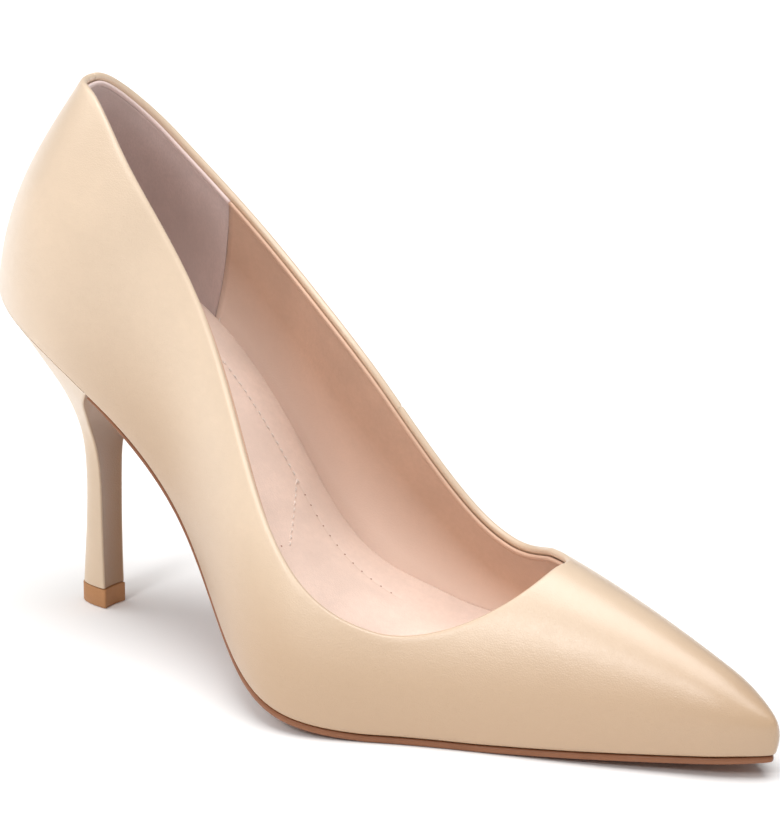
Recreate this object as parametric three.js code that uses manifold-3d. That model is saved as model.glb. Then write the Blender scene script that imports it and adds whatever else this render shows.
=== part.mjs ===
// High heel pump, right foot. Millimetres: +X towards the toe, +Y towards the medial side, +Z up.
// x = 0 is the back of the seat and z = 0 is the floor. Every piece is laid on the same last surface.
import * as THREE from 'three';
import { ParametricGeometry } from 'three/addons/geometries/ParametricGeometry.js';
import { mergeGeometries, mergeVertices } from 'three/addons/utils/BufferGeometryUtils.js';
import Module from 'manifold-3d';

// ---- driving dimensions -------------------------------------------------------------------

const LENGTH = 240;
const LATERAL = -1;
const MEDIAL = 1;

// Curves of the last: pairs of station x and value.
const FEATHER_Z = [[0, 88], [25, 82], [50, 66.5], [70, 45.8], [88, 26], [104, 14.2], [120, 6.8], [142, 2.3],
  [168, 1.9], [195, 3.2], [240, 6.6]];
const FEATHER_FLOOR = 2;
const AXIS_Y = [[0, 0], [120, 2.2], [180, 4.6], [240, 9.5]];
const HALF_WIDTH = {
  [LATERAL]: [[0, 16], [40, 27.5], [75, 22.5], [100, 35], [125, 45], [150, 35.5], [190, 20.5], [240, 3.5]],
  [MEDIAL]: [[0, 16], [40, 27], [75, 28.5], [100, 26.5], [125, 33], [150, 36], [190, 28], [240, 5]],
};
const SIDE_BULGE = {
  [LATERAL]: [[0, 5.5], [90, 8.5], [130, 5], [240, 2.2]],
  [MEDIAL]: [[0, 5.5], [90, 8.5], [130, 4.7], [240, 2.4]],
};
const SIDE_RISE = [[0, 26], [110, 24.5], [170, 16.3], [240, 6]];
const RIDGE_Z = [[0, 163.5], [60, 143], [110, 102.8], [140, 62.4], [175, 44.5], [240, 18.5]];
const CROWN = {
  [LATERAL]: [[0, 12], [90, 15.5], [150, 17], [200, 11.6], [240, 5.2]],
  [MEDIAL]: [[0, 12], [90, 16.5], [150, 15], [200, 12], [240, 4.7]],
};
const BACK_ROUND = 30;
const TOE_ROUND = 15;
const TOE_DROP = 4;
const BACK_FULLNESS = 2.4;
const TOE_FULLNESS = 2.2;
const BACK_LEAN = 0.48;
const BACK_HOLLOW = 3.7;
const BACK_HOLLOW_HEIGHT = 50;
const BACK_REACH = 120;
const HOLLOW_TOP = 80;
const TOE_LEAN = 2.4;
const TOE_LEAN_REACH = 18;
const TOE_LEAN_PIVOT = 5;
const TOE_LEAN_RISE = 8;

// Topline: height above the floor on each side, then the cap that closes it at the throat.
const TOPLINE_Z = {
  [LATERAL]: [[0, 145.5], [18, 144.5], [42, 131.1], [75, 98.6], [105, 60.5], [135, 32.1], [165, 25.8]],
  [MEDIAL]: [[0, 145.5], [18, 133.6], [42, 116], [75, 93.5], [105, 72.9], [135, 40.2], [165, 38.7]],
};
const TOPLINE_LAST = 165;
const THROAT_X = 177.4;
const THROAT_START = 145;
const THROAT_SWEEP = 1.9;
const THROAT_BLUNTNESS = 0.38;

// Upper, stiffeners and lining: depth of each layer under the outside of the leather.
const GAP = 0.3;
const LEATHER = 1.1;
const STIFFENER = [1.4, 2.2];
const LINING = [2.5, 3.3];
const TAPE = [1.4, 1.8];
const LINING_TRIM = 1;
const WAIST_SEAM_X = 111;
const BACK_SEAM_X = 0.02;
const GRIP_FRONT = [45, 48];
const MARGIN = [[0, 9], [60, 10], [120, 12], [190, 11], [215, 7], [232, 2.6], [240, 0.8]];
const COUNTER_FRONT = { [LATERAL]: 62, [MEDIAL]: 70 };
const COUNTER_DROP = 9;
const COUNTER_WING = 0.45;
const COUNTER_WING_DROP = 0.55;
const TAPE_WIDTH = 6;
const TAPE_FRONT = 168;
const PUFF_BACK = 196;
const NOSE_X = 231;

// Bottom: heights above the feather surface, measured square to it.
const WALL_FOOT = 1.4;
const LIFT_FADE = 10;
const SHANK_BOARD = [1.55, 2.25];
const STEEL_SHANK = [0.1, 1.1];
const BOARD_THICKNESS = 1.2;
const BOARD_RAMP = [116, 130];
const BOARD_INSET = 3.9;
const BOARD_END = 222;
const SHANK_BOARD_X = [5, 108];
const STEEL_SHANK_X = [38, 112];
const STEEL_SHANK_HALF = 5;
const FILLER_X = [118, 196];
const FILLER_INSET = 13;
const FILLER = [0.15, 1.05];
const FOAM_X = [20, 110];
const FOAM_EDGE = 0.3;
const FOAM_SWELL = 0.8;
const FOAM_RAMP = [26, 42, 92, 108];
const SOCK_RAMP = [4, 20, 110, 126];
const FOAM_GAP = 0.7;
const SOCK_GAP = 0.35;
const SOCK_EXTRA_INSET = 0.2;
const FOAM_INSET = 8.5;
const SOCK_THICKNESS = 0.7;
const OUTSOLE = [-2, -0.2];
const OUTSOLE_BACK = 48.4;
const OUTSOLE_TOE_X = 215;
const OUTSOLE_INSET = 0.7;

// Heel: rows from the tip (level 0) to the seat (level 1).
const HEEL_BREAST_X = [
  [0, 34.2], [0.12, 33.8], [0.3, 33.5], [0.45, 33.4], [0.58, 33.2],
  [0.68, 33.9], [0.78, 36.2], [0.88, 40.6], [1, 47.6],
];
const HEEL_BREAST_Z = [
  [0, 0], [0.12, 7], [0.3, 25], [0.45, 38], [0.58, 46],
  [0.68, 51.2], [0.78, 56.6], [0.88, 62.3], [1, 68.6],
];
const HEEL_BACK_X = [
  [0, 23.9], [0.12, 24.4], [0.3, 25.9], [0.45, 26.2], [0.58, 25.2],
  [0.68, 22.6], [0.78, 17.6], [0.88, 9.8], [1, 0],
];
const HEEL_BACK_Z = [
  [0, 0], [0.12, 7], [0.3, 25], [0.45, 39], [0.58, 50],
  [0.68, 58.6], [0.78, 67.6], [0.88, 77.4], [1, 87.6],
];
const HEEL_HALF = [
  [0, 4.15], [0.12, 4.15], [0.3, 4.3], [0.45, 4.7], [0.58, 6.1],
  [0.68, 8.7], [0.78, 12.8], [0.88, 18.7], [1, 25.4],
];
const HEEL_SQUARENESS = 2.5;
const HEEL_SEAT_BLEND = 0.6;
const HEEL_BREAST_HOLLOW = 0.5;
const HEEL_SEAT_GAP = 0.3;
const COVER_THICKNESS = 0.8;
const CORE_GAP = 0.4;
const TOP_PIECE_HEIGHT = 5.3;
const HEEL_START_Z = 5.6;

// Fasteners.
const DOWEL_X = 29.5;
const TUBE = { outer: 1.3, inner: 0.95, from: 5.9, to: 54 };
const PIN = { radius: 0.7, head: 1.9, headHeight: 0.8, from: 1.8, to: 18 };
const HOLE_PLAY = 0.22;
const NAILS = [[15.4, 4.6], [15.4, -4.6], [36.5, 9.5], [36.5, -9.5]];
const NAIL = { radius: 0.7, head: 1.6, headHeight: 0.3, length: 11 };
const SCREW = { x: 28.1, radius: 1.7, head: 3.2, headHeight: 0.3, length: 17 };
const RIVETS_X = [45.1, 83.8];
const RIVET = { radius: 1.2, head: 2.2, headHeight: 0.3 };
const HEAD_GAP = 0.2;
const RIVET_RECESS = 0.15;
const BORE_SPARE = 0.4;
const DRILL_ABOVE = 8;
const DRILL_BELOW = 3;

// Steps of the surface's slopes, and how finely a height is searched for.
const AT_END = 1e-6;
const LEVEL_STEP = 1e-3;
const ANGLE_STEP = 1e-3;
const SLOPE_STEP = 0.05;
const AT_RIDGE = 0.9999;
const TIP_LEVEL = 0.96;
const HALVINGS = 24;
const WELD_DISTANCE = 2e-3;
const BOOLEAN_WELD = 1e-4;

// Rows of each mesh: across a layer, and round a turned piece.
const MARGIN_ROWS = 2;
const WALL_ROWS = 10;
const LINING_ROWS = 8;
const STIFFENER_ROWS = 7;
const BOARD_ROWS = 6;
const SHANK_BOARD_ROWS = 4;
const FILLER_ROWS = 2;
const SHANK_ROWS = 2;
const FOAM_ROWS = 8;
const SOCK_ROWS = 10;
const NAIL_ROUND = 12;
const RIVET_ROUND = 14;
const SCREW_ROUND = 16;
const DOWEL_ROUND = 20;

const LEATHER_COLOUR = '#e6cfae';
const STEEL_COLOUR = '#8f9398';

// ---- curve and grid helpers ---------------------------------------------------------------

// Natural cubic spline through [x, value] pairs.
function spline(pairs) {
  const n = pairs.length;
  const x = pairs.map((pair) => pair[0]);
  const y = pairs.map((pair) => pair[1]);
  const bend = new Array(n).fill(0);
  const sweep = new Array(n).fill(0);
  for (let i = 1; i < n - 1; i += 1) {
    const before = x[i] - x[i - 1];
    const after = x[i + 1] - x[i];
    const slopeStep = (y[i + 1] - y[i]) / after - (y[i] - y[i - 1]) / before;
    const share = 2 * (before + after) - before * sweep[i - 1];
    sweep[i] = after / share;
    bend[i] = (6 * slopeStep - before * bend[i - 1]) / share;
  }
  for (let i = n - 2; i > 0; i -= 1) {
    bend[i] -= sweep[i] * bend[i + 1];
  }
  return (at) => {
    let i = 0;
    while (i < n - 2 && at > x[i + 1]) {
      i += 1;
    }
    const span = x[i + 1] - x[i];
    const a = (x[i + 1] - at) / span;
    const b = 1 - a;
    const cubic = (a ** 3 - a) * bend[i] + (b ** 3 - b) * bend[i + 1];
    return a * y[i] + b * y[i + 1] + (cubic * span * span) / 6;
  };
}

const bySide = (table) => ({ [LATERAL]: spline(table[LATERAL]), [MEDIAL]: spline(table[MEDIAL]) });
const { lerp, clamp, smoothstep } = THREE.MathUtils;
const pick = (list, share) => list[Math.round(share * (list.length - 1))];

// Stations between two x values, crowded towards the ends that are asked for.
function stations(from, to, count, crowdStart, crowdEnd) {
  const first = crowdStart ? 0 : Math.PI / 2;
  const last = crowdEnd ? Math.PI : Math.PI / 2;
  if (first === last) {
    return Array.from({ length: count + 1 }, (_, i) => lerp(from, to, i / count));
  }
  const low = Math.cos(first);
  const high = Math.cos(last);
  return Array.from({ length: count + 1 }, (_, i) => {
    const angle = lerp(first, last, i / count);
    return lerp(from, to, (low - Math.cos(angle)) / (low - high));
  });
}

// ---- the last -------------------------------------------------------------------------------

const featherCurve = spline(FEATHER_Z);
const axisY = spline(AXIS_Y);
const halfWidth = bySide(HALF_WIDTH);
const bulge = bySide(SIDE_BULGE);
const rise = spline(SIDE_RISE);
const ridgeCurve = spline(RIDGE_Z);
const crown = bySide(CROWN);
const toplineHeight = bySide(TOPLINE_Z);
const marginWidth = spline(MARGIN);

const featherZ = (x) => Math.max(featherCurve(x), FEATHER_FLOOR);

// Share of the half width left near the back of the heel and near the toe.
function endCap(x) {
  const back = clamp(1 - x / BACK_ROUND, 0, 1);
  const toe = clamp(1 - (LENGTH - x) / TOE_ROUND, 0, 1);
  return Math.sqrt((1 - back ** BACK_FULLNESS) * (1 - toe ** TOE_FULLNESS));
}

function ridgeZ(x) {
  const toe = clamp(1 - (LENGTH - x) / TOE_ROUND, 0, 1);
  return ridgeCurve(x) - TOE_DROP * (1 - Math.sqrt(1 - toe ** TOE_FULLNESS));
}

// Outside of the shoe at station x, v = 0 on the feather line and 1 on the ridge over the foot.
function skin(x, v, side) {
  const low = featherZ(x);
  const top = ridgeZ(x);
  const w = 1 - v;
  const across = w ** 3 * halfWidth[side](x) + 3 * v * w * w * (halfWidth[side](x) + bulge[side](x))
    + 3 * v * v * w * crown[side](x);
  const z = w ** 3 * low + 3 * v * w * w * (low + rise(x)) + (3 * v * v * w + v ** 3) * top;
  const height = z - low;
  const backShare = clamp(1 - x / BACK_REACH, 0, 1);
  const hollow = Math.sin((Math.PI * Math.min(height, HOLLOW_TOP)) / BACK_HOLLOW_HEIGHT);
  const toeShare = clamp(1 - (LENGTH - x) / TOE_LEAN_REACH, 0, 1) ** 2;
  const toeTurn = clamp((height - TOE_LEAN_PIVOT) / TOE_LEAN_RISE, -1, 3) ** 2;
  const shift = backShare ** 2 * BACK_LEAN * height - backShare ** 3 * BACK_HOLLOW * hollow
    - toeShare * TOE_LEAN * toeTurn;
  return new THREE.Vector3(x + shift, axisY(x) + side * across * endCap(x), z);
}

const angleAt = (x) => Math.acos(clamp(1 - (2 * x) / LENGTH, -1, 1));
const stationAt = (angle) => (LENGTH * (1 - Math.cos(angle))) / 2;

function alongSkin(x, v, side) {
  if (x < AT_END) {
    return new THREE.Vector3(0, side, 0);
  }
  if (x > LENGTH - AT_END) {
    return new THREE.Vector3(0, -side, 0);
  }
  const after = skin(stationAt(Math.min(angleAt(x) + ANGLE_STEP, Math.PI)), v, side);
  return after.sub(skin(stationAt(Math.max(angleAt(x) - ANGLE_STEP, 0)), v, side)).normalize();
}

function skinNormal(x, v, side) {
  const along = alongSkin(x, v, side);
  let up = new THREE.Vector3(0, -side, 0);
  const atTip = x > LENGTH - AT_END;
  if (v < AT_RIDGE || atTip) {
    const level = atTip ? Math.min(v, TIP_LEVEL) : v;
    up = skin(x, Math.min(level + LEVEL_STEP, 1), side).sub(skin(x, Math.max(level - LEVEL_STEP, 0), side));
  }
  return along.cross(up).multiplyScalar(-side).normalize();
}

// Upward normal of the bottom, which has no twist across the foot.
function bottomNormal(x) {
  const slope = (featherZ(x + SLOPE_STEP) - featherZ(x - SLOPE_STEP)) / (2 * SLOPE_STEP);
  return new THREE.Vector3(-slope, 0, 1).normalize();
}

// A layer inside the skin. Its foot is lifted clear of the layers below it.
function wall(x, v, side, depth, lift = 0) {
  const point = skin(x, v, side);
  const fade = clamp(1 - (point.z - featherZ(x)) / LIFT_FADE, 0, 1) ** 2;
  point.addScaledVector(skinNormal(x, v, side), -depth);
  return point.addScaledVector(bottomNormal(x), lift * fade);
}

// The level v at which a side reaches the height z.
function levelAt(x, side, z) {
  let low = 0;
  let high = 1;
  for (let i = 0; i < HALVINGS; i += 1) {
    const middle = (low + high) / 2;
    if (skin(x, middle, side).z < z) {
      low = middle;
    } else {
      high = middle;
    }
  }
  return (low + high) / 2;
}

// The level of the topline, or of a line that runs `drop` below it.
function topLevel(x, side, drop = 0) {
  const throat = THROAT_X + drop;
  if (x >= throat - AT_END) {
    return 1;
  }
  const level = levelAt(x, side, toplineHeight[side](Math.min(x, TOPLINE_LAST)) - drop);
  const share = clamp((x - THROAT_START) / (throat - THROAT_START), 0, 1);
  return 1 - (1 - level) * (1 - share ** THROAT_SWEEP) ** THROAT_BLUNTNESS;
}

// A point on the bottom, `inset` inside the feather line and `height` square above it.
function edgeInset(x, side, inset) {
  const point = skin(x, 0, side);
  const along = alongSkin(x, 0, side);
  const inward = new THREE.Vector3(side * along.y, -side * along.x, 0).normalize();
  return point.addScaledVector(inward, inset);
}

function bottom(x, y, height) {
  return new THREE.Vector3(x, y, featherZ(x)).addScaledVector(bottomNormal(x), height);
}

// ---- solids -----------------------------------------------------------------------------------

function patch(at, across, up, flip) {
  const geometry = new ParametricGeometry((u, v, target) => target.copy(at(flip ? 1 - u : u, v)), across, up);
  geometry.deleteAttribute('uv');
  geometry.deleteAttribute('normal');
  return geometry;
}

function dropSlivers(geometry) {
  const index = geometry.index.array;
  const kept = [];
  for (let i = 0; i < index.length; i += 3) {
    const [a, b, c] = [index[i], index[i + 1], index[i + 2]];
    if (a !== b && b !== c && c !== a) {
      kept.push(a, b, c);
    }
  }
  geometry.setIndex(kept);
  return geometry;
}

function weld(patches) {
  return dropSlivers(mergeVertices(mergeGeometries(patches), WELD_DISTANCE));
}

// Patches of a sheet with thickness between two grids. A face that another sheet continues is left off.
function sheet({ outer, inner, along, across, flip = false, open = [], topUntil = along, loop = false }) {
  const between = (share, a, b) => a.clone().lerp(b, share);
  const patches = [
    patch((s, t) => outer(s, t), along, across, flip),
    patch((s, t) => inner(1 - s, t), along, across, flip),
  ];
  if (!loop && !open.includes('foot')) {
    patches.push(patch((s, w) => between(w, inner(s, 0), outer(s, 0)), along, 1, flip));
  }
  if (!loop && topUntil > 0) {
    const reach = topUntil / along;
    patches.push(patch((s, w) => between(w, outer(s * reach, 1), inner(s * reach, 1)), topUntil, 1, flip));
  }
  if (!open.includes('start')) {
    patches.push(patch((t, w) => between(w, outer(0, t), inner(0, t)), across, 1, flip));
  }
  if (!open.includes('end')) {
    patches.push(patch((t, w) => between(w, inner(1, t), outer(1, t)), across, 1, flip));
  }
  return patches;
}

// A wall layer on one side of the foot between two lines of levels.
function sideSheet(side, xs, rows, depths, options = {}) {
  const { foot = () => 0, top = (x) => topLevel(x, side), shear = () => 0, lift = WALL_FOOT } = options;
  const at = (depth, raise) => (s, t) => {
    const x = pick(xs, s) + shear(t, s);
    return wall(x, lerp(foot(x), top(x), t), side, depth, raise);
  };
  return sheet({
    outer: at(depths[0], lift),
    inner: at(depths[1], lift),
    along: xs.length - 1,
    across: rows,
    flip: side === MEDIAL,
    ...options,
  });
}

// Upper leather on one side: turned-in lasting margin, feather edge, then the wall to the topline.
function upperSheet(side, xs, options = {}) {
  const rows = MARGIN_ROWS + WALL_ROWS;
  const at = (depth) => (s, t) => {
    const x = pick(xs, s);
    const row = Math.round(t * rows);
    if (row < MARGIN_ROWS) {
      const edge = edgeInset(x, side, lerp(marginWidth(x), depth, row / MARGIN_ROWS));
      return bottom(edge.x, edge.y, depth);
    }
    return wall(x, (topLevel(x, side) * (row - MARGIN_ROWS)) / WALL_ROWS, side, depth, depth);
  };
  return sheet({
    outer: at(0),
    inner: at(LEATHER),
    along: xs.length - 1,
    across: rows,
    flip: side === MEDIAL,
    ...options,
  });
}

// A board or sole across the whole foot between two stations.
function plate(xs, inset, low, high, columns = BOARD_ROWS) {
  const at = (height) => (s, t) => {
    const x = pick(xs, s);
    const point = edgeInset(x, LATERAL, inset).lerp(edgeInset(x, MEDIAL, inset), t);
    return bottom(point.x, point.y, height(point.x, s, t));
  };
  return weld(sheet({ outer: at(low), inner: at(high), along: xs.length - 1, across: columns, flip: true }));
}

const group = new THREE.Group();

function add(name, geometry, color, roughness, metalness = 0) {
  geometry.computeVertexNormals();
  const material = new THREE.MeshStandardMaterial({ color, roughness, metalness });
  const mesh = new THREE.Mesh(geometry, material);
  mesh.name = name;
  group.add(mesh);
}

// ---- booleans ---------------------------------------------------------------------------------

const wasm = await Module();
wasm.setup();

function toSolid(geometry) {
  const plain = geometry.clone();
  plain.deleteAttribute('normal');
  plain.deleteAttribute('uv');
  const welded = dropSlivers(mergeVertices(plain, BOOLEAN_WELD));
  return new wasm.Manifold(new wasm.Mesh({
    numProp: 3,
    vertProperties: Float32Array.from(welded.attributes.position.array),
    triVerts: Uint32Array.from(welded.index.array),
  }));
}

function fromSolid(solid) {
  const mesh = solid.getMesh();
  const geometry = new THREE.BufferGeometry();
  geometry.setAttribute('position', new THREE.BufferAttribute(mesh.vertProperties, 3));
  geometry.setIndex(Array.from(mesh.triVerts));
  return geometry;
}

function cut(geometry, tools) {
  return fromSolid(tools.reduce((solid, tool) => solid.subtract(toSolid(tool)), toSolid(geometry)));
}

// A turned piece: [radius, height] pairs, its foot at `at` and its axis along `axis`.
function turned(profile, at, axis, segments = SCREW_ROUND) {
  const points = profile.map(([radius, height]) => new THREE.Vector2(radius, height));
  const geometry = new THREE.LatheGeometry(points, segments);
  geometry.applyQuaternion(new THREE.Quaternion().setFromUnitVectors(new THREE.Vector3(0, 1, 0), axis));
  geometry.translate(at.x, at.y, at.z);
  return geometry;
}

const rod = (radius, from, to) => [[0, from], [radius, from], [radius, to], [0, to]];
const headed = (radius, head, from, neck, to) => [[0, from], [radius, from], [radius, neck], [head, neck],
  [head, to], [0, to]];

// ---- upper and linings ------------------------------------------------------------------------

const rearXs = stations(0, THROAT_X, 26, true, true);
const foreXs = stations(THROAT_X, LENGTH, 13, false, true).slice(1);
const seamXs = stations(WAIST_SEAM_X, THROAT_X, 12, false, true);
const lateralXs = [...rearXs, ...foreXs];
const medialXs = [...seamXs, ...foreXs];

add('vamp_upper', weld([
  ...upperSheet(LATERAL, lateralXs, { open: ['end'], topUntil: rearXs.length - 1 }),
  ...upperSheet(MEDIAL, medialXs, { open: ['end'], topUntil: seamXs.length - 1 }),
]), LEATHER_COLOUR, 0.42);

const quarterXs = stations(BACK_SEAM_X, WAIST_SEAM_X - GAP, 18, true, false);
add('medial_quarter', weld(upperSheet(MEDIAL, quarterXs)), LEATHER_COLOUR, 0.42);

const liningThroat = THROAT_X + LINING_TRIM;
const liningFore = stations(liningThroat, NOSE_X, 8, false, false).slice(1);
const liningRear = stations(GRIP_FRONT[0], liningThroat, 20, false, true);
const liningTop = (side) => (x) => topLevel(x, side, LINING_TRIM);
const gripShear = (t, s) => (GRIP_FRONT[1] - GRIP_FRONT[0]) * t * clamp(1 - s * 1.6, 0, 1);

function vampLining(side) {
  return sideSheet(side, [...liningRear, ...liningFore], LINING_ROWS, LINING, {
    top: liningTop(side),
    shear: gripShear,
    topUntil: liningRear.length - 1,
  });
}
add('vamp_lining', weld([...vampLining(LATERAL), ...vampLining(MEDIAL)]), '#b98f78', 0.6);

const gripXs = stations(0, GRIP_FRONT[0] - GAP, 12, true, false);
const gripEdge = (t, s) => (GRIP_FRONT[1] - GRIP_FRONT[0]) * t * s * s;
const heelGrip = (side) => sideSheet(side, gripXs, LINING_ROWS, LINING, {
  top: liningTop(side),
  shear: gripEdge,
  open: ['start'],
});
add('heel_grip_lining', weld([...heelGrip(LATERAL), ...heelGrip(MEDIAL)]), '#b3a09c', 0.9);

// ---- stiffeners between upper and lining ------------------------------------------------------

function heelCounter(side) {
  const front = COUNTER_FRONT[side];
  const wing = (x) => smoothstep(x, front * COUNTER_WING, front);
  const top = (x) => topLevel(x, side, COUNTER_DROP) * (1 - COUNTER_WING_DROP * wing(x));
  const xs = stations(0, front, 14, true, false);
  return sideSheet(side, xs, STIFFENER_ROWS, STIFFENER, { top, open: ['start'] });
}
add('heel_counter', weld([...heelCounter(LATERAL), ...heelCounter(MEDIAL)]), '#cbb894', 0.85);

const puffXs = stations(PUFF_BACK, NOSE_X, 8, false, false);
const toePuff = (side) => sideSheet(side, puffXs, STIFFENER_ROWS, STIFFENER, { top: () => 1, topUntil: 0 });
add('toe_puff', weld([...toePuff(LATERAL), ...toePuff(MEDIAL)]), '#d8d0c0', 0.8);

const tapeXs = stations(0, TAPE_FRONT, 26, true, false);
const toplineTape = (side) => sideSheet(side, tapeXs, 1, TAPE, {
  foot: (x) => topLevel(x, side, TAPE_WIDTH + 1),
  top: (x) => topLevel(x, side, 1),
  lift: 0,
  open: ['start'],
});
add('topline_tape', weld([...toplineTape(LATERAL), ...toplineTape(MEDIAL)]), '#f2efe6', 0.9);

// ---- bottom -----------------------------------------------------------------------------------

const boardBase = (x) => lerp(SHANK_BOARD[1] + GAP, WALL_FOOT, smoothstep(x, BOARD_RAMP[0], BOARD_RAMP[1]));
const boardTop = (x) => boardBase(x) + BOARD_THICKNESS;
const boardXs = stations(0, BOARD_END, 30, true, false);

// Foam and sock swell between the first pair of stations and fall between the second pair.
const swell = (x, ramp) => smoothstep(x, ramp[0], ramp[1]) * (1 - smoothstep(x, ramp[2], ramp[3]));

function drill(x, y, radius, from, to) {
  return turned(rod(radius, 0, from - to), bottom(x, y, from), bottomNormal(x).negate());
}

const fastenerHoles = [
  ...NAILS.map(([x, y]) => ({ x, y, radius: NAIL.radius + HOLE_PLAY })),
  { x: SCREW.x, y: 0, radius: SCREW.radius + HOLE_PLAY },
];
const rivetHoles = RIVETS_X.map((x) => ({ x, y: axisY(x), radius: RIVET.radius + HOLE_PLAY }));
const through = ({ x, y, radius }) => drill(x, y, radius, DRILL_ABOVE, -DRILL_BELOW);

add('insole_board', cut(
  plate(boardXs, BOARD_INSET, boardBase, boardTop),
  [...fastenerHoles, ...rivetHoles].map(through),
), '#c9ad86', 0.9);

const shankBoardXs = stations(SHANK_BOARD_X[0], SHANK_BOARD_X[1], 24, true, false);
add('shank_board', cut(
  plate(shankBoardXs, BOARD_INSET, () => SHANK_BOARD[0], () => SHANK_BOARD[1], SHANK_BOARD_ROWS),
  [...fastenerHoles, ...rivetHoles].map(through),
), '#8c6f4c', 0.9);

function shankStrip() {
  const xs = stations(STEEL_SHANK_X[0], STEEL_SHANK_X[1], 18, false, false);
  const at = (height) => (s, t) => {
    const x = pick(xs, s);
    return bottom(x, axisY(x) + lerp(-STEEL_SHANK_HALF, STEEL_SHANK_HALF, t), height);
  };
  return weld(sheet({
    outer: at(STEEL_SHANK[0]),
    inner: at(STEEL_SHANK[1]),
    along: xs.length - 1,
    across: SHANK_ROWS,
    flip: true,
  }));
}
add('steel_shank', cut(shankStrip(), rivetHoles.map(through)), '#8d9299', 0.35, 0.9);

RIVETS_X.forEach((x, i) => {
  const low = STEEL_SHANK[1] + RIVET_RECESS;
  const high = boardTop(x) + HEAD_GAP;
  const profile = headed(RIVET.radius, RIVET.head, 0, high - low, high - low + RIVET.headHeight);
  const rivet = turned(profile, bottom(x, axisY(x), low), bottomNormal(x), RIVET_ROUND);
  add(`shank_rivet_${i + 1}`, rivet, '#b89b5a', 0.35, 0.9);
});

const fillerXs = stations(FILLER_X[0], FILLER_X[1], 10, false, false);
const filler = plate(fillerXs, FILLER_INSET, () => FILLER[0], () => FILLER[1], FILLER_ROWS);
add('bottom_filler', filler, '#6e5a45', 0.95);

const foamXs = stations(FOAM_X[0], FOAM_X[1], 30, false, false);
const foamBase = (x) => boardTop(x) + FOAM_GAP;
const foamThickness = (x, t) => FOAM_EDGE + FOAM_SWELL * swell(x, FOAM_RAMP) * (1 - Math.abs(2 * t - 1) ** 4);
add('sock_foam', plate(
  foamXs,
  FOAM_INSET,
  foamBase,
  (x, s, t) => foamBase(x) + foamThickness(x, t),
  FOAM_ROWS,
), '#e8dfd2', 0.95);

// The sock swells over the foam, and starts to before it, so that it never touches it.
const sockXs = stations(0, BOARD_END - 4, 30, true, false);
const overFoam = FOAM_GAP + FOAM_EDGE + FOAM_SWELL;
const sockBase = (x, t) => (
  boardTop(x) + SOCK_GAP + overFoam * swell(x, SOCK_RAMP) * (1 - Math.abs(2 * t - 1) ** 8)
);
add('sock_lining', plate(
  sockXs,
  BOARD_INSET + SOCK_EXTRA_INSET,
  (x, s, t) => sockBase(x, t),
  (x, s, t) => sockBase(x, t) + SOCK_THICKNESS,
  SOCK_ROWS,
), '#ecd0c0', 0.7);

const outsoleXs = [
  ...stations(OUTSOLE_BACK, OUTSOLE_TOE_X, 24, false, false),
  ...stations(OUTSOLE_TOE_X, LENGTH, 8, false, true).slice(1),
];
add('outsole', plate(outsoleXs, OUTSOLE_INSET, () => OUTSOLE[0], () => OUTSOLE[1]), '#7a4630', 0.5);

// ---- heel -------------------------------------------------------------------------------------

const heelBreastX = spline(HEEL_BREAST_X);
const heelBreastZ = spline(HEEL_BREAST_Z);
const heelBackX = spline(HEEL_BACK_X);
const heelBackZ = spline(HEEL_BACK_Z);
const heelHalf = spline(HEEL_HALF);
const SIDE_POINTS = 12;
const BREAST_POINTS = 6;

// A point on one side at level and q, 0 on the breast and 1 at the back, `inset` inside the outline.
// Towards the seat the outline turns into the feather line of the upper.
function heelSide(level, q, side, inset) {
  const squared = (1 - q ** HEEL_SQUARENESS) ** (1 / HEEL_SQUARENESS);
  const stem = (at) => new THREE.Vector3(
    lerp(heelBreastX(at) - inset, heelBackX(at) + inset, q),
    side * (heelHalf(at) - inset) * squared,
    lerp(heelBreastZ(at), heelBackZ(at), q),
  );
  const seat = edgeInset((heelBreastX(1) - inset) * (1 - q), side, inset);
  return stem(level).addScaledVector(seat.sub(stem(1)), smoothstep(level, HEEL_SEAT_BLEND, 1));
}

// Closed outline at one level: lateral breast corner, back, medial corner, then across the breast.
function heelLoop(level, inset) {
  const points = [];
  for (let i = 0; i < 2 * SIDE_POINTS; i += 1) {
    const side = i < SIDE_POINTS ? LATERAL : MEDIAL;
    const turn = 1 - Math.abs(1 - i / SIDE_POINTS);
    points.push(heelSide(level, Math.sin((turn * Math.PI) / 2), side, inset));
  }
  for (let i = 0; i < BREAST_POINTS; i += 1) {
    const t = i / BREAST_POINTS;
    const corner = heelSide(level, 0, MEDIAL, inset).lerp(heelSide(level, 0, LATERAL, inset), t);
    corner.x -= HEEL_BREAST_HOLLOW * 4 * t * (1 - t);
    points.push(corner);
  }
  return points;
}

const heelLevels = [0.096, 0.13, 0.2, 0.3, 0.4, 0.5, 0.58, 0.64, 0.7, 0.76, 0.82, 0.88, 0.94, 1];

function heelRow(level, inset) {
  const loop = heelLoop(level, inset);
  loop.forEach((point) => {
    if (level === heelLevels[0]) {
      point.z = HEEL_START_Z;
    }
    if (level === 1) {
      point.z = featherZ(point.x) - HEEL_SEAT_GAP / bottomNormal(point.x).z;
    }
  });
  return loop;
}

const rowsAt = (inset) => heelLevels.map((level) => heelRow(level, inset));

function loopGrid(rows) {
  return (s, t) => {
    const row = pick(rows, s);
    return row[Math.round(t * row.length) % row.length].clone();
  };
}

const loopCount = 2 * SIDE_POINTS + BREAST_POINTS;

const coverOutside = loopGrid(rowsAt(0));
const coverInside = loopGrid(rowsAt(COVER_THICKNESS));
add('heel_cover', weld(sheet({
  outer: (s, t) => coverOutside(t, s),
  inner: (s, t) => coverInside(t, s),
  along: loopCount,
  across: heelLevels.length - 1,
  flip: true,
  open: ['start', 'end'],
})), '#dcc3a0', 0.42);

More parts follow.
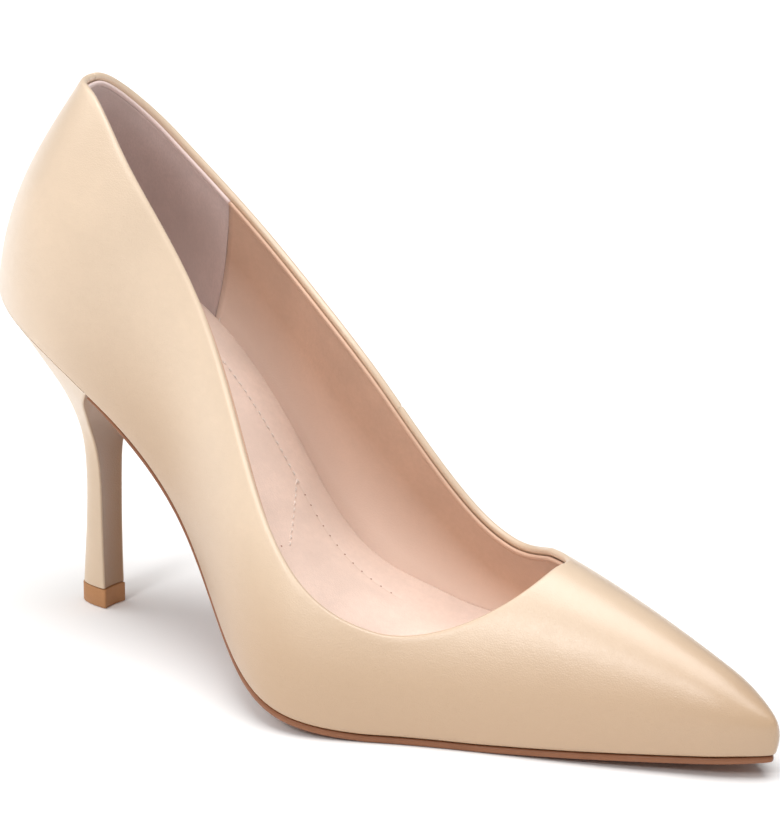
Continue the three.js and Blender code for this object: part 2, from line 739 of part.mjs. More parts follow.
// Solid inside a stack of outlines, closed by a grid at each end.
function solidStack(rows) {
  const side = loopGrid(rows);
  const lid = (row) => (q, t) => {
    const i = Math.round(q * SIDE_POINTS);
    if (i === 0) {
      return row[(loopCount - Math.round(t * BREAST_POINTS)) % loopCount].clone();
    }
    return row[i].clone().lerp(row[2 * SIDE_POINTS - i], t);
  };
  return weld([
    patch((t, s) => side(s, t), loopCount, rows.length - 1, true),
    patch(lid(rows[0]), SIDE_POINTS, BREAST_POINTS, false),
    patch(lid(rows[rows.length - 1]), SIDE_POINTS, BREAST_POINTS, true),
  ]);
}

const up = new THREE.Vector3(0, 0, 1);
const dowelFoot = new THREE.Vector3(DOWEL_X, 0, 0);
const coreRows = rowsAt(COVER_THICKNESS + CORE_GAP);
const tubeBore = rod(TUBE.outer + HOLE_PLAY, DRILL_BELOW, TUBE.to + BORE_SPARE);
const boreForTube = turned(tubeBore, dowelFoot, up, DOWEL_ROUND);
const boreInHeel = (x, y, { radius, length }) => (
  drill(x, y, radius + HOLE_PLAY, DRILL_ABOVE, boardTop(x) - length - BORE_SPARE)
);
const fastenerBores = [
  ...NAILS.map(([x, y]) => boreInHeel(x, y, NAIL)),
  boreInHeel(SCREW.x, 0, SCREW),
];
add('heel_core', cut(solidStack(coreRows), [boreForTube, ...fastenerBores]), '#d9d4c8', 0.5);

const tubeProfile = [
  [TUBE.inner, TUBE.from],
  [TUBE.outer, TUBE.from],
  [TUBE.outer, TUBE.to],
  [TUBE.inner, TUBE.to],
  [TUBE.inner, TUBE.from],
];
add('heel_tube', turned(tubeProfile, dowelFoot, up, DOWEL_ROUND), '#9aa0a6', 0.3, 0.9);

// ---- top piece and fasteners ------------------------------------------------------------------

function topPieceBlock() {
  const outline = heelLoop(0, 0).map((point) => new THREE.Vector2(point.x, point.y));
  const shape = new THREE.Shape(outline);
  return new THREE.ExtrudeGeometry(shape, { depth: TOP_PIECE_HEIGHT, bevelEnabled: false });
}

const pinPocket = [[0, PIN.from - HOLE_PLAY], [PIN.head + HOLE_PLAY, PIN.from - HOLE_PLAY],
  [PIN.head + HOLE_PLAY, PIN.from + PIN.headHeight + HOLE_PLAY],
  [PIN.radius + HOLE_PLAY, PIN.from + PIN.headHeight + HOLE_PLAY],
  [PIN.radius + HOLE_PLAY, TOP_PIECE_HEIGHT + 1], [0, TOP_PIECE_HEIGHT + 1]];
add('top_piece', cut(topPieceBlock(), [turned(pinPocket, dowelFoot, up, DOWEL_ROUND)]), '#9c6b45', 0.65);

const pinProfile = [[0, PIN.from], [PIN.head, PIN.from], [PIN.head, PIN.from + PIN.headHeight],
  [PIN.radius, PIN.from + PIN.headHeight], [PIN.radius, PIN.to], [0, PIN.to]];
add('top_piece_pin', turned(pinProfile, dowelFoot, up, DOWEL_ROUND), '#a7abb0', 0.3, 0.9);

NAILS.forEach(([x, y], i) => {
  const foot = boardTop(x) - NAIL.length;
  const profile = headed(NAIL.radius, NAIL.head, 0, NAIL.length + HEAD_GAP,
    NAIL.length + HEAD_GAP + NAIL.headHeight);
  const nail = turned(profile, bottom(x, y, foot), bottomNormal(x), NAIL_ROUND);
  add(`heel_nail_${i + 1}`, nail, STEEL_COLOUR, 0.4, 0.9);
});

const screwFoot = boardTop(SCREW.x) - SCREW.length;
const screwProfile = headed(SCREW.radius, SCREW.head, 0, SCREW.length + HEAD_GAP,
  SCREW.length + HEAD_GAP + SCREW.headHeight);
const screw = turned(screwProfile, bottom(SCREW.x, 0, screwFoot), bottomNormal(SCREW.x));
add('heel_screw', screw, STEEL_COLOUR, 0.4, 0.9);

// The frame's origin: on the floor, under the middle of the bounding box.
const middle = new THREE.Box3().setFromObject(group).getCenter(new THREE.Vector3());
group.position.set(-middle.x, -middle.y, 0);

export default group;
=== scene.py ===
import math

import bmesh
import bpy
import numpy as np
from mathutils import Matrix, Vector


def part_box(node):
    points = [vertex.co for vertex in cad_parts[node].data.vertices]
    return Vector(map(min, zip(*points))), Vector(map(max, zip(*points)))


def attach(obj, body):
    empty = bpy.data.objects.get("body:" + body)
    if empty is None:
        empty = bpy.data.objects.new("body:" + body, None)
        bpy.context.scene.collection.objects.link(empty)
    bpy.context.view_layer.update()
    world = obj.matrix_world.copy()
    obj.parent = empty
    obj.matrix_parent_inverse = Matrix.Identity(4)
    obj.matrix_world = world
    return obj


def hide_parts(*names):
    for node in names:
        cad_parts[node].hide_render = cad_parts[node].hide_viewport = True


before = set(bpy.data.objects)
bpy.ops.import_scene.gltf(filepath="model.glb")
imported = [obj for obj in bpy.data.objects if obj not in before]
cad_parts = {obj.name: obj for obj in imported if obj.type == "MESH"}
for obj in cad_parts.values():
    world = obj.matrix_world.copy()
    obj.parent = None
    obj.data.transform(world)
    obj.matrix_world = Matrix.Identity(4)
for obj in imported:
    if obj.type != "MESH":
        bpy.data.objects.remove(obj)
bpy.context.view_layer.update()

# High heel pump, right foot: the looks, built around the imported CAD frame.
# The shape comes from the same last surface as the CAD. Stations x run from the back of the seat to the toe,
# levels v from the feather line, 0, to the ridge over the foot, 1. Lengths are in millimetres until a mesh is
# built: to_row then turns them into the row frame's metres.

# ---- driving dimensions, as in the CAD ----

LENGTH = 240
LATERAL, MEDIAL = -1, 1
SIDES = (LATERAL, MEDIAL)

FEATHER_Z = [(0, 88), (25, 82), (50, 66.5), (70, 45.8), (88, 26), (104, 14.2), (120, 6.8), (142, 2.3),
             (168, 1.9), (195, 3.2), (240, 6.6)]
FEATHER_FLOOR = 2
AXIS_Y = [(0, 0), (120, 2.2), (180, 4.6), (240, 9.5)]
HALF_WIDTH = {
    LATERAL: [(0, 16), (40, 27.5), (75, 22.5), (100, 35), (125, 45), (150, 35.5), (190, 20.5), (240, 3.5)],
    MEDIAL: [(0, 16), (40, 27), (75, 28.5), (100, 26.5), (125, 33), (150, 36), (190, 28), (240, 5)],
}
SIDE_BULGE = {
    LATERAL: [(0, 5.5), (90, 8.5), (130, 5), (240, 2.2)],
    MEDIAL: [(0, 5.5), (90, 8.5), (130, 4.7), (240, 2.4)],
}
SIDE_RISE = [(0, 26), (110, 24.5), (170, 16.3), (240, 6)]
RIDGE_Z = [(0, 163.5), (60, 143), (110, 102.8), (140, 62.4), (175, 44.5), (240, 18.5)]
CROWN = {
    LATERAL: [(0, 12), (90, 15.5), (150, 17), (200, 11.6), (240, 5.2)],
    MEDIAL: [(0, 12), (90, 16.5), (150, 15), (200, 12), (240, 4.7)],
}
BACK_ROUND, TOE_ROUND, TOE_DROP = 30, 15, 4
BACK_FULLNESS, TOE_FULLNESS = 2.4, 2.2
BACK_LEAN, BACK_HOLLOW, BACK_HOLLOW_HEIGHT, BACK_REACH = 0.48, 3.7, 50, 120
HOLLOW_TOP = 80
TOE_LEAN, TOE_LEAN_REACH, TOE_LEAN_PIVOT, TOE_LEAN_RISE = 2.4, 18, 5, 8
TOPLINE_Z = {
    LATERAL: [(0, 145.5), (18, 144.5), (42, 131.1), (75, 98.6), (105, 60.5), (135, 32.1), (165, 25.8)],
    MEDIAL: [(0, 145.5), (18, 133.6), (42, 116), (75, 93.5), (105, 72.9), (135, 40.2), (165, 38.7)],
}
TOPLINE_LAST, THROAT_X, THROAT_START = 165, 177.4, 145
THROAT_SWEEP, THROAT_BLUNTNESS = 1.9, 0.38

# Steps of the surface's slopes, and how finely a height is searched for.
AT_END, AT_RIDGE, TIP_LEVEL = 1e-6, 0.9999, 0.96
ANGLE_STEP, LEVEL_STEP, SLOPE_STEP = 1e-3, 1e-3, 0.05
HALVINGS = 30
TINY, NARROWEST = 1e-12, 1e-6

LEATHER = 1.1
LINING_OUT, LINING_IN = 2.5, 3.3
LINING_TRIM = 1.05
WAIST_SEAM_X = 111
GRIP_BOTTOM, GRIP_TOP = 45, 48
MARGIN = [(0, 9), (60, 10), (120, 12), (190, 11), (215, 7), (232, 2.6), (240, 0.8)]
WALL_FOOT, LIFT_FADE = 1.4, 10
NOSE_X = 231

SHANK_BOARD_TOP = 2.25
BOARD_GAP = 0.3
BOARD_THICKNESS = 1.2
BOARD_RAMP = (116, 130)
BOARD_END = 222
SOCK_INSET = 4.1
SOCK_GAP, SOCK_THICKNESS = 0.35, 0.7
SOCK_RAMP = (4, 20, 110, 126)
OVER_FOAM, OVER_FOAM_SQUARENESS = 1.8, 8
FOAM_X = (20, 110)
FOAM_RAMP = (26, 42, 92, 108)
FOAM_GAP, FOAM_EDGE, FOAM_SWELL, FOAM_INSET = 0.7, 0.3, 0.8, 8.5

OUTSOLE_BACK, OUTSOLE_TOE_X = 48.4, 215
DOWEL_X = 29.5
TOP_PIECE_HEIGHT = 5.3
HEEL_START_Z = 5.6
HEEL_SQUARENESS, HEEL_SEAT_BLEND, HEEL_BREAST_HOLLOW, HEEL_SEAT_GAP = 2.5, 0.6, 0.5, 0.04
# Level, then x and z of the breast, x and z of the back, and half the width.
HEEL_PROFILE = [
    (0, 34.2, 0, 23.9, 0, 4.15),
    (0.12, 33.8, 7, 24.4, 7, 4.15),
    (0.3, 33.5, 25, 25.9, 25, 4.3),
    (0.45, 33.4, 38, 26.2, 39, 4.7),
    (0.58, 33.2, 46, 25.2, 50, 6.1),
    (0.68, 33.9, 51.2, 22.6, 58.6, 8.7),
    (0.78, 36.2, 56.6, 17.6, 67.6, 12.8),
    (0.88, 40.6, 62.3, 9.8, 77.4, 18.7),
    (1, 47.6, 68.6, 0, 87.6, 25.4),
]

# ---- dimensions of the finer detail ----

BAND = 9            # the strip under the topline whose rows run parallel to it
BAND_SHIFT_X = 140  # forward of this station the strip's columns turn towards the throat
BACK_ROW_X = 1e-3   # a column this near the back lies in the middle plane
FOLD_RADIUS = 0.95
FLAP_DEPTH = 8
FLAP_THICKNESS = 0.4
POCKET_DROP = 1
FEATHER_RADIUS = 1.5
SEAT_RADIUS = 0.25
SEAM_RADIUS = 0.55
BEAD_RADIUS = 0.5
BEAD_PROUD = 0.2
RIM_CLOSE = 0.35
LINING_STITCH_DROP = 2.6
SOCK_STITCH_INSET = 8.3
SOCK_CURL_REACH = 12
SOLE_TOP = -0.2
SOLE_WAIST, SOLE_FORE = -1.5, -2

# ---- curve helpers ----


def spline(pairs):
    """Natural cubic spline through (x, value) pairs."""
    x, y = np.array(pairs, float).T
    count = len(x)
    gap = np.diff(x)
    system = np.eye(count)
    load = np.zeros(count)
    for i in range(1, count - 1):
        system[i, i - 1:i + 2] = gap[i - 1], 2 * (gap[i - 1] + gap[i]), gap[i]
        load[i] = 6 * ((y[i + 1] - y[i]) / gap[i] - (y[i] - y[i - 1]) / gap[i - 1])
    bend = np.linalg.solve(system, load)

    def at(where):
        where = np.asarray(where, float)
        i = np.clip(np.searchsorted(x, where) - 1, 0, count - 2)
        a = (x[i + 1] - where) / gap[i]
        b = 1 - a
        cubic = (a**3 - a) * bend[i] + (b**3 - b) * bend[i + 1]
        return a * y[i] + b * y[i + 1] + cubic * gap[i] ** 2 / 6

    return at


def by_side(table):
    return {side: spline(table[side]) for side in SIDES}


def lerp(a, b, share):
    return a + (b - a) * share


def clamp(value):
    return np.clip(value, 0, 1)


def smoothstep(x, low, high):
    t = clamp((x - low) / (high - low))
    return t * t * (3 - 2 * t)


def unit(vectors):
    return vectors / np.maximum(np.linalg.norm(vectors, axis=-1, keepdims=True), TINY)


def xyz(x, y, z):
    return np.stack(np.broadcast_arrays(x, y, z), axis=-1).astype(float)


def stations(start, end, count, crowd_start, crowd_end):
    """Stations between two x values, crowded towards the ends that are asked for."""
    first = 0 if crowd_start else math.pi / 2
    last = math.pi if crowd_end else math.pi / 2
    if first == last:
        return np.linspace(start, end, count + 1)
    angle = np.linspace(first, last, count + 1)
    low, high = math.cos(first), math.cos(last)
    return lerp(start, end, (low - np.cos(angle)) / (low - high))


# ---- the last ----

feather_curve = spline(FEATHER_Z)
axis_y = spline(AXIS_Y)
half_width = by_side(HALF_WIDTH)
bulge = by_side(SIDE_BULGE)
rise = spline(SIDE_RISE)
ridge_curve = spline(RIDGE_Z)
crown = by_side(CROWN)
topline_height = by_side(TOPLINE_Z)
margin_width = spline(MARGIN)


def feather_z(x):
    return np.maximum(feather_curve(x), FEATHER_FLOOR)


def end_cap(x):
    back = clamp(1 - x / BACK_ROUND)
    toe = clamp(1 - (LENGTH - x) / TOE_ROUND)
    return np.sqrt((1 - back**BACK_FULLNESS) * (1 - toe**TOE_FULLNESS))


def ridge_z(x):
    toe = clamp(1 - (LENGTH - x) / TOE_ROUND)
    return ridge_curve(x) - TOE_DROP * (1 - np.sqrt(1 - toe**TOE_FULLNESS))


def paired(x, v):
    return np.broadcast_arrays(np.asarray(x, float), np.asarray(v, float))


def skin(x, v, side):
    """Outside of the shoe at station x and level v."""
    x, v = paired(x, v)
    low, top = feather_z(x), ridge_z(x)
    w = 1 - v
    half = half_width[side](x)
    across = w**3 * half + 3 * v * w * w * (half + bulge[side](x)) + 3 * v * v * w * crown[side](x)
    z = w**3 * low + 3 * v * w * w * (low + rise(x)) + (3 * v * v * w + v**3) * top
    height = z - low
    back = clamp(1 - x / BACK_REACH)
    hollow = np.sin(math.pi * np.minimum(height, HOLLOW_TOP) / BACK_HOLLOW_HEIGHT)
    toe = clamp(1 - (LENGTH - x) / TOE_LEAN_REACH) ** 2
    toe_turn = np.clip((height - TOE_LEAN_PIVOT) / TOE_LEAN_RISE, -1, 3) ** 2
    shift = back**2 * BACK_LEAN * height - back**3 * BACK_HOLLOW * hollow - toe * TOE_LEAN * toe_turn
    return xyz(x + shift, axis_y(x) + side * across * end_cap(x), z)


def angle_at(x):
    return np.arccos(np.clip(1 - 2 * x / LENGTH, -1, 1))


def station_at(angle):
    return LENGTH * (1 - np.cos(angle)) / 2


def along_skin(x, v, side):
    x, v = paired(x, v)
    angle = angle_at(x)
    after = skin(station_at(np.minimum(angle + ANGLE_STEP, math.pi)), v, side)
    before = skin(station_at(np.maximum(angle - ANGLE_STEP, 0)), v, side)
    along = unit(after - before)
    along[x < AT_END] = (0, side, 0)
    along[x > LENGTH - AT_END] = (0, -side, 0)
    return along


def skin_normal(x, v, side):
    x, v = paired(x, v)
    at_tip = x > LENGTH - AT_END
    level = np.where(at_tip, np.minimum(v, TIP_LEVEL), v)
    up = skin(x, np.minimum(level + LEVEL_STEP, 1), side) - skin(x, np.maximum(level - LEVEL_STEP, 0), side)
    up[(v >= AT_RIDGE) & ~at_tip] = (0, -side, 0)
    return unit(np.cross(along_skin(x, v, side), up) * -side)


def bottom_normal(x):
    slope = (feather_z(x + SLOPE_STEP) - feather_z(x - SLOPE_STEP)) / (2 * SLOPE_STEP)
    return unit(xyz(-slope, 0, 1))


def wall(x, v, side, depth, lift=0):
    """A layer inside the skin. Its foot is lifted clear of the layers below it."""
    point = skin(x, v, side)
    fade = clamp(1 - (point[..., 2] - feather_z(x)) / LIFT_FADE) ** 2
    depth = np.asarray(depth, float)[..., None]
    return point - skin_normal(x, v, side) * depth + bottom_normal(x) * (lift * fade)[..., None]


def level_at(x, side, z):
    low, high = np.zeros_like(x), np.ones_like(x)
    for _ in range(HALVINGS):
        middle = (low + high) / 2
        below = skin(x, middle, side)[..., 2] < z
        low, high = np.where(below, middle, low), np.where(below, high, middle)
    return (low + high) / 2


def top_level(x, side, drop=0):
    """The level of the topline, or of a line that runs `drop` below it."""
    throat = THROAT_X + drop
    level = level_at(x, side, topline_height[side](np.minimum(x, TOPLINE_LAST)) - drop)
    share = clamp((x - THROAT_START) / (throat - THROAT_START))
    closing = 1 - (1 - level) * np.maximum(1 - share**THROAT_SWEEP, 0) ** THROAT_BLUNTNESS
    return np.where(x >= throat - AT_END, 1.0, closing)


def edge_inset(x, side, inset):
    """A point of the bottom's plan, `inset` inside the feather line."""
    along = along_skin(x, 0, side)
    inward = unit(xyz(side * along[..., 1], -side * along[..., 0], 0))
    return skin(x, 0, side) + inward * np.asarray(inset, float)[..., None]


def bottom(x, y, height):
    return xyz(x, y, feather_z(x)) + bottom_normal(x) * np.asarray(height, float)[..., None]


def plan(point, height):
    return bottom(point[..., 0], point[..., 1], height)


def band(side, xs, drop, depth=0, lift=0):
    """A row `drop` below the topline. Its columns fan out so that all the rows cross the throat together."""
    turn = smoothstep(xs, BAND_SHIFT_X, THROAT_X + BAND)
    x = xs - (BAND - drop) * turn
    return wall(x, top_level(x, side, drop), side, depth, lift)


def rim_frame(side, xs, drop):
    """Point, outward normal and upward direction across the rim, for each column."""
    point = band(side, xs, drop)
    normal = unit(point - band(side, xs, drop, 1))
    along = np.gradient(point, axis=0)
    along[(xs < BACK_ROW_X) | (xs > THROAT_X + BAND - AT_END)] = (0, 1, 0)
    up = unit(np.cross(normal, along))
    away = point - band(side, xs, 2 * drop)
    return point, normal, up * np.sign((up * away).sum(-1, keepdims=True))


# ---- mesh building ----

DOWEL_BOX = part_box("heel_tube")
SHIFT = np.array([
    (DOWEL_BOX[0][0] + DOWEL_BOX[1][0]) / 2 - DOWEL_X / 1000,
    (DOWEL_BOX[0][1] + DOWEL_BOX[1][1]) / 2,
    0,
])


def to_row(points):
    return np.asarray(points) / 1000 + SHIFT


def placed(name, data):
    """A new object in the scene, for a mesh, a lamp or the camera."""
    made = bpy.data.objects.new(name, data)
    bpy.context.scene.collection.objects.link(made)
    return made


WELD_DISTANCE = 1e-4
SLIT_WIDTH = 1e-5  # metres: the two sides of the upper meet this closely at the toe


class Shell:
    """Grids of points that are welded into one closed mesh. Each point may carry named values."""

    def __init__(self):
        self.points, self.faces, self.values, self.count = [], [], {}, 0

    def add(self, points, faces, **values):
        self.faces += faces
        self.points.append(points.reshape(-1, 3))
        for name in set(self.values) | set(values):
            column = self.values.setdefault(name, [np.zeros(self.count)])
            column.append(np.broadcast_to(values.get(name, 0.0), points.shape[:-1]).reshape(-1))
        self.count += len(self.points[-1])

    def grid(self, rows, flip=False, **values):
        rows = np.asarray(rows, float)
        index = self.count + np.arange(rows[..., 0].size).reshape(rows.shape[:2])
        quads = np.stack([index[:-1, :-1], index[1:, :-1], index[1:, 1:], index[:-1, 1:]], -1).reshape(-1, 4)
        self.add(rows, (quads[:, ::-1] if flip else quads).tolist(), **values)

    def cap(self, loop):
        """Closes a flat loop of points with one face."""
        self.add(np.array(loop), [range(self.count, self.count + len(loop))])

    def build(self, name, material, slot, sharp=None):
        points = np.concatenate(self.points)
        keys = np.round(points / WELD_DISTANCE).astype(np.int64)
        _, first, welded = np.unique(keys, axis=0, return_index=True, return_inverse=True)
        welded = welded.reshape(-1)
        faces = []
        for face in self.faces:
            corners = list(dict.fromkeys(int(welded[i]) for i in face))
            if len(corners) > 2:
                faces.append(corners)
        mesh = bpy.data.meshes.new(name)
        mesh.from_pydata(to_row(points[first]).tolist(), [], faces)
        for key, column in self.values.items():
            layer = mesh.attributes.new(key, "FLOAT", "POINT")
            layer.data.foreach_set("value", np.concatenate(column)[first].astype(np.float32))
        work = bmesh.new()
        work.from_mesh(mesh)
        slit = [vertex for vertex in work.verts if vertex.is_boundary]
        bmesh.ops.remove_doubles(work, verts=slit, dist=SLIT_WIDTH)
        bmesh.ops.recalc_face_normals(work, faces=work.faces)
        for face in work.faces:
            face.smooth = True
        work.to_mesh(mesh)
        work.free()
        if sharp is not None:
            mesh.set_sharp_from_angle(angle=math.radians(sharp))
        mesh.materials.append(material)
        piece = placed(name, mesh)
        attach(piece, "root")
        return piece


def columns(rows):
    """Rows of points, one array per row, as a grid with a column for each station."""
    return np.stack(rows, axis=1)


def add_rows(shell, rows, split=None, **values):
    """Adds rows as one grid, or as two that part at row `split`. Each row brings its own values."""
    grid = columns(rows)
    values = {name: columns([np.broadcast_to(value, len(grid)) for value in by_row])
              for name, by_row in values.items()}
    for part in ((slice(None, split), slice(split, None)) if split else (slice(None),)):
        shell.grid(grid[:, part], **{name: value[:, part] for name, value in values.items()})
    return grid


def slab(shell, top, low, ends=(0, -1)):
    """A plate: rows of points over its top and its bottom, both from the lateral to the medial edge."""
    shell.grid(columns(top))
    shell.grid(columns(low), flip=True)
    for edge in (0, -1):
        shell.grid(columns([top[edge], low[edge]]))
    for end in ends:
        shell.grid(np.stack([columns(top)[end], columns(low)[end]]))


# ---- materials ----


class Nodes:
    """A material's node tree. Texture scales are in cycles per metre of the row frame."""

    def __init__(self, name, base, roughness, **shader):
        self.base = self.tone = base
        self.material = bpy.data.materials.new(name)
        self.material.use_nodes = True
        self.tree = self.material.node_tree
        self.shader = self.tree.nodes["Principled BSDF"]
        self.shader.inputs["Roughness"].default_value = roughness
        for key, value in shader.items():
            self.shader.inputs[key.replace("_", " ")].default_value = value
        self.where = self.tree.nodes.new("ShaderNodeTexCoord").outputs["Object"]

    def add(self, kind, links=(), **settings):
        node = self.tree.nodes.new("ShaderNode" + kind)
        for key, value in settings.items():
            setattr(node, key, value)
        for key, value in dict(links).items():
            if isinstance(value, bpy.types.NodeSocket):
                self.tree.links.new(value, node.inputs[key])
            else:
                node.inputs[key].default_value = value
        return node

    def noise(self, scale, detail=3, roughness=0.5, stretch=None):
        where = self.where
        if stretch:
            where = self.add("Mapping", {"Vector": where, "Scale": stretch}).outputs["Vector"]
        return self.add("TexNoise", {"Vector": where, "Scale": scale, "Detail": detail,
                                     "Roughness": roughness}).outputs["Fac"]

    def cells(self, scale, feature="F1"):
        links = {"Vector": self.where, "Scale": scale}
        return self.add("TexVoronoi", links, feature=feature).outputs["Distance"]

    def attribute(self, name):
        return self.add("Attribute", attribute_name=name).outputs["Fac"]

    def math(self, operation, a, b):
        node = self.add("Math", operation=operation)
        self.put(node.inputs[0], a)
        self.put(node.inputs[1], b)
        return node.outputs["Value"]

    def ramp(self, value, low, high, to_low=0.0, to_high=1.0):
        return self.add("MapRange", {"Value": value, "From Min": low, "From Max": high, "To Min": to_low,
                                     "To Max": to_high}).outputs["Result"]

    def mix(self, share, a, b):
        node = self.add("Mix", data_type="RGBA")
        colours = [socket for socket in node.inputs if socket.type == "RGBA"]
        self.put(node.inputs[0], share)
        self.put(colours[0], a)
        self.put(colours[1], b)
        return next(socket for socket in node.outputs if socket.type == "RGBA")

    def mottle(self, value, darker, paler, low=0.35, high=0.65):
        """Starts the tone with two factors of the base colour, by a value between low and high."""
        self.tone = self.mix(self.ramp(value, low, high), scaled(self.base, darker), scaled(self.base, paler))

    def tint(self, value, low, high, share, factor):
        """Mixes up to a share of another factor of the base colour into the tone."""
        self.tone = self.mix(self.ramp(value, low, high, 0, share), self.tone, scaled(self.base, factor))

    def put(self, socket, value):
        if isinstance(value, bpy.types.NodeSocket):
            self.tree.links.new(value, socket)
        elif isinstance(value, tuple):
            socket.default_value = (*value, 1)
        else:
            socket.default_value = value

    def roughness(self, socket):
        self.put(self.shader.inputs["Roughness"], socket)

    def finished(self, *layers):
        """The material with its tone and its bumps: (height, distance in metres), the coarsest first."""
        self.put(self.shader.inputs["Base Color"], self.tone)
        links = {"Strength": 1.0}
        for height, distance in layers:
            links.update({"Height": height, "Distance": distance})
            links["Normal"] = self.add("Bump", links).outputs["Normal"]
        if layers:
            self.put(self.shader.inputs["Normal"], links["Normal"])
        return self.material


def srgb(red, green, blue):
    """A linear colour from sRGB values of 0 to 255."""
    def one(value):
        value /= 255
        return value / 12.92 if value <= 0.04045 else ((value + 0.055) / 1.055) ** 2.4
    return one(red), one(green), one(blue)


def scaled(colour, factor):
    return tuple(min(1, channel * factor) for channel in colour)


def smooth_leather(name, colour, roughness, painted_shade_colour):
    """Finished calf leather: faint mottling, pores and fine creases, paler on its folded edges as a painted
    highlight. Painted shade darkens it at the foot of the wall, and low on the walls towards its painted
    shade colour.
    """
    made = Nodes(name, colour, roughness, Specular_IOR_Level=0.6, Coat_Weight=0.4, Coat_Roughness=0.3)
    mottle = made.noise(38, 4, 0.55)
    fine = made.noise(420, 3, 0.6)
    grain = made.cells(1500, "DISTANCE_TO_EDGE")
    pores = made.cells(2600)
    creases = made.noise(90, 5, 0.6, (0.5, 1, 2.2))
    made.mottle(mottle, 0.955, 1.03)
    made.tint(fine, 0.3, 0.7, 0.35, 0.93)
    # painted highlight: paler along the rolled topline fold
    made.tint(made.attribute("rim"), 0, 1, 0.45, 1.08)
    # painted shade: darker at the foot of the wall, where it meets the sole
    made.tint(made.attribute("foot"), 0, 1, 0.4, 0.85)
    # painted shade: darker low on the walls, and on the heel's breast
    made.tone = made.mix(made.attribute("burnish"), made.tone, painted_shade_colour)
    made.roughness(made.ramp(made.math("ADD", mottle, fine), 0.6, 1.4, roughness - 0.05, roughness + 0.06))
    return made.finished((creases, 0.00012), (made.ramp(grain, 0, 0.25), 0.00002),
                         (made.ramp(pores, 0, 0.5), 0.000012))


def lining_leather(name, colour, roughness, grain_scale):
    """Matt lining leather, with a paler raw edge that also carries a painted highlight, and painted light
    that makes the walls paler low down, towards the sock's pink.
    """
    made = Nodes(name, colour, roughness, Specular_IOR_Level=0.3, Sheen_Weight=0.12, Sheen_Roughness=0.5)
    mottle = made.noise(55, 4, 0.6)
    fine = made.noise(700, 3, 0.65)
    grain = made.cells(grain_scale, "DISTANCE_TO_EDGE")
    made.mottle(mottle, 0.93, 1.05)
    made.tint(fine, 0.35, 0.7, 0.3, 0.85)
    # paler raw edge, with a painted highlight on the bead
    made.tint(made.attribute("rim"), 0, 1, 0.45, 1.3)
    # painted light: paler low on the lining walls, towards the sock's pink
    made.tone = made.mix(made.ramp(made.attribute("foot"), 0, 0.7, 0, 0.95), made.tone, SOCK_PINK)
    made.roughness(made.ramp(fine, 0.3, 0.7, roughness - 0.06, roughness + 0.06))
    return made.finished((mottle, 0.0001), (made.ramp(grain, 0, 0.2), 0.00002), (fine, 0.00001))


def suede(name, colour):
    """Short-napped microfibre: fibrous, with brushed lighter and darker patches."""
    made = Nodes(name, colour, 0.95, Specular_IOR_Level=0.15, Sheen_Weight=0.35, Sheen_Roughness=0.6)
    brushed = made.noise(60, 4, 0.65, (1, 1, 0.5))
    fibres = made.noise(2600, 2, 0.7, (1, 1, 0.35))
    made.mottle(brushed, 0.88, 1.08)
    made.tint(fibres, 0.3, 0.7, 0.5, 0.78)
    # paler along its top edge: a paler cut edge with a painted highlight on the bead
    made.tint(made.attribute("rim"), 0, 1, 0.6, 1.5)
    return made.finished((brushed, 0.00008), (fibres, 0.00004))


def moulded(name, colour, roughness):
    """Moulded or cast material with a fine texture, scuffed darker and rougher in places."""
    made = Nodes(name, colour, roughness, Specular_IOR_Level=0.4)
    fine = made.noise(900, 3, 0.6)
    scuffs = made.noise(240, 4, 0.7, (0.25, 1, 1))
    made.mottle(made.noise(70, 5, 0.6), 0.92, 1.06)
    made.tint(scuffs, 0.55, 0.75, 0.6, 0.85)
    made.roughness(made.ramp(scuffs, 0.4, 0.7, roughness - 0.05, roughness + 0.15))
    return made.finished((scuffs, 0.00004), (fine, 0.000015))


def fibrous(name, colour, roughness, scale, stretch, depth):
    """Board, tape, cork or foam: a matt material of fibres, threads, granules or cells."""
    made = Nodes(name, colour, roughness, Specular_IOR_Level=0.2)
    fibres = made.noise(scale, 4, 0.7, stretch)
    made.mottle(made.noise(110, 4, 0.6), 0.9, 1.08, 0.3, 0.7)
    made.tint(fibres, 0.35, 0.65, 0.6, 0.75)
    return made.finished((fibres, depth), (made.ramp(made.cells(scale * 0.6), 0, 0.6), depth * 0.5))


def metal(name, colour, roughness, stretch):
    """Drawn or rolled metal with fine lines along its working direction."""
    made = Nodes(name, colour, roughness, Metallic=1.0)
    lines = made.noise(1500, 3, 0.6, stretch)
    made.mottle(made.noise(160, 3, 0.5), 0.85, 1.05)
    made.roughness(made.ramp(lines, 0.3, 0.7, roughness - 0.08, roughness + 0.12))
    return made.finished((lines, 0.000006))


def thread(name, colour):
    """Twisted sewing thread."""
    made = Nodes(name, colour, 0.7, Specular_IOR_Level=0.3, Sheen_Weight=0.2)
    twist = made.noise(5200, 2, 0.5, (1, 2.5, 1))
    made.mottle(twist, 0.8, 1.1)
    return made.finished((twist, 0.00002))


NUDE = srgb(223, 199, 173)
LINING_TAN = srgb(209, 172, 148)
GRIP_MAUVE = srgb(212, 191, 186)
SOCK_PINK = srgb(243, 221, 207)
SOLE_BROWN = srgb(140, 90, 60)
TOP_TAN = srgb(182, 130, 86)
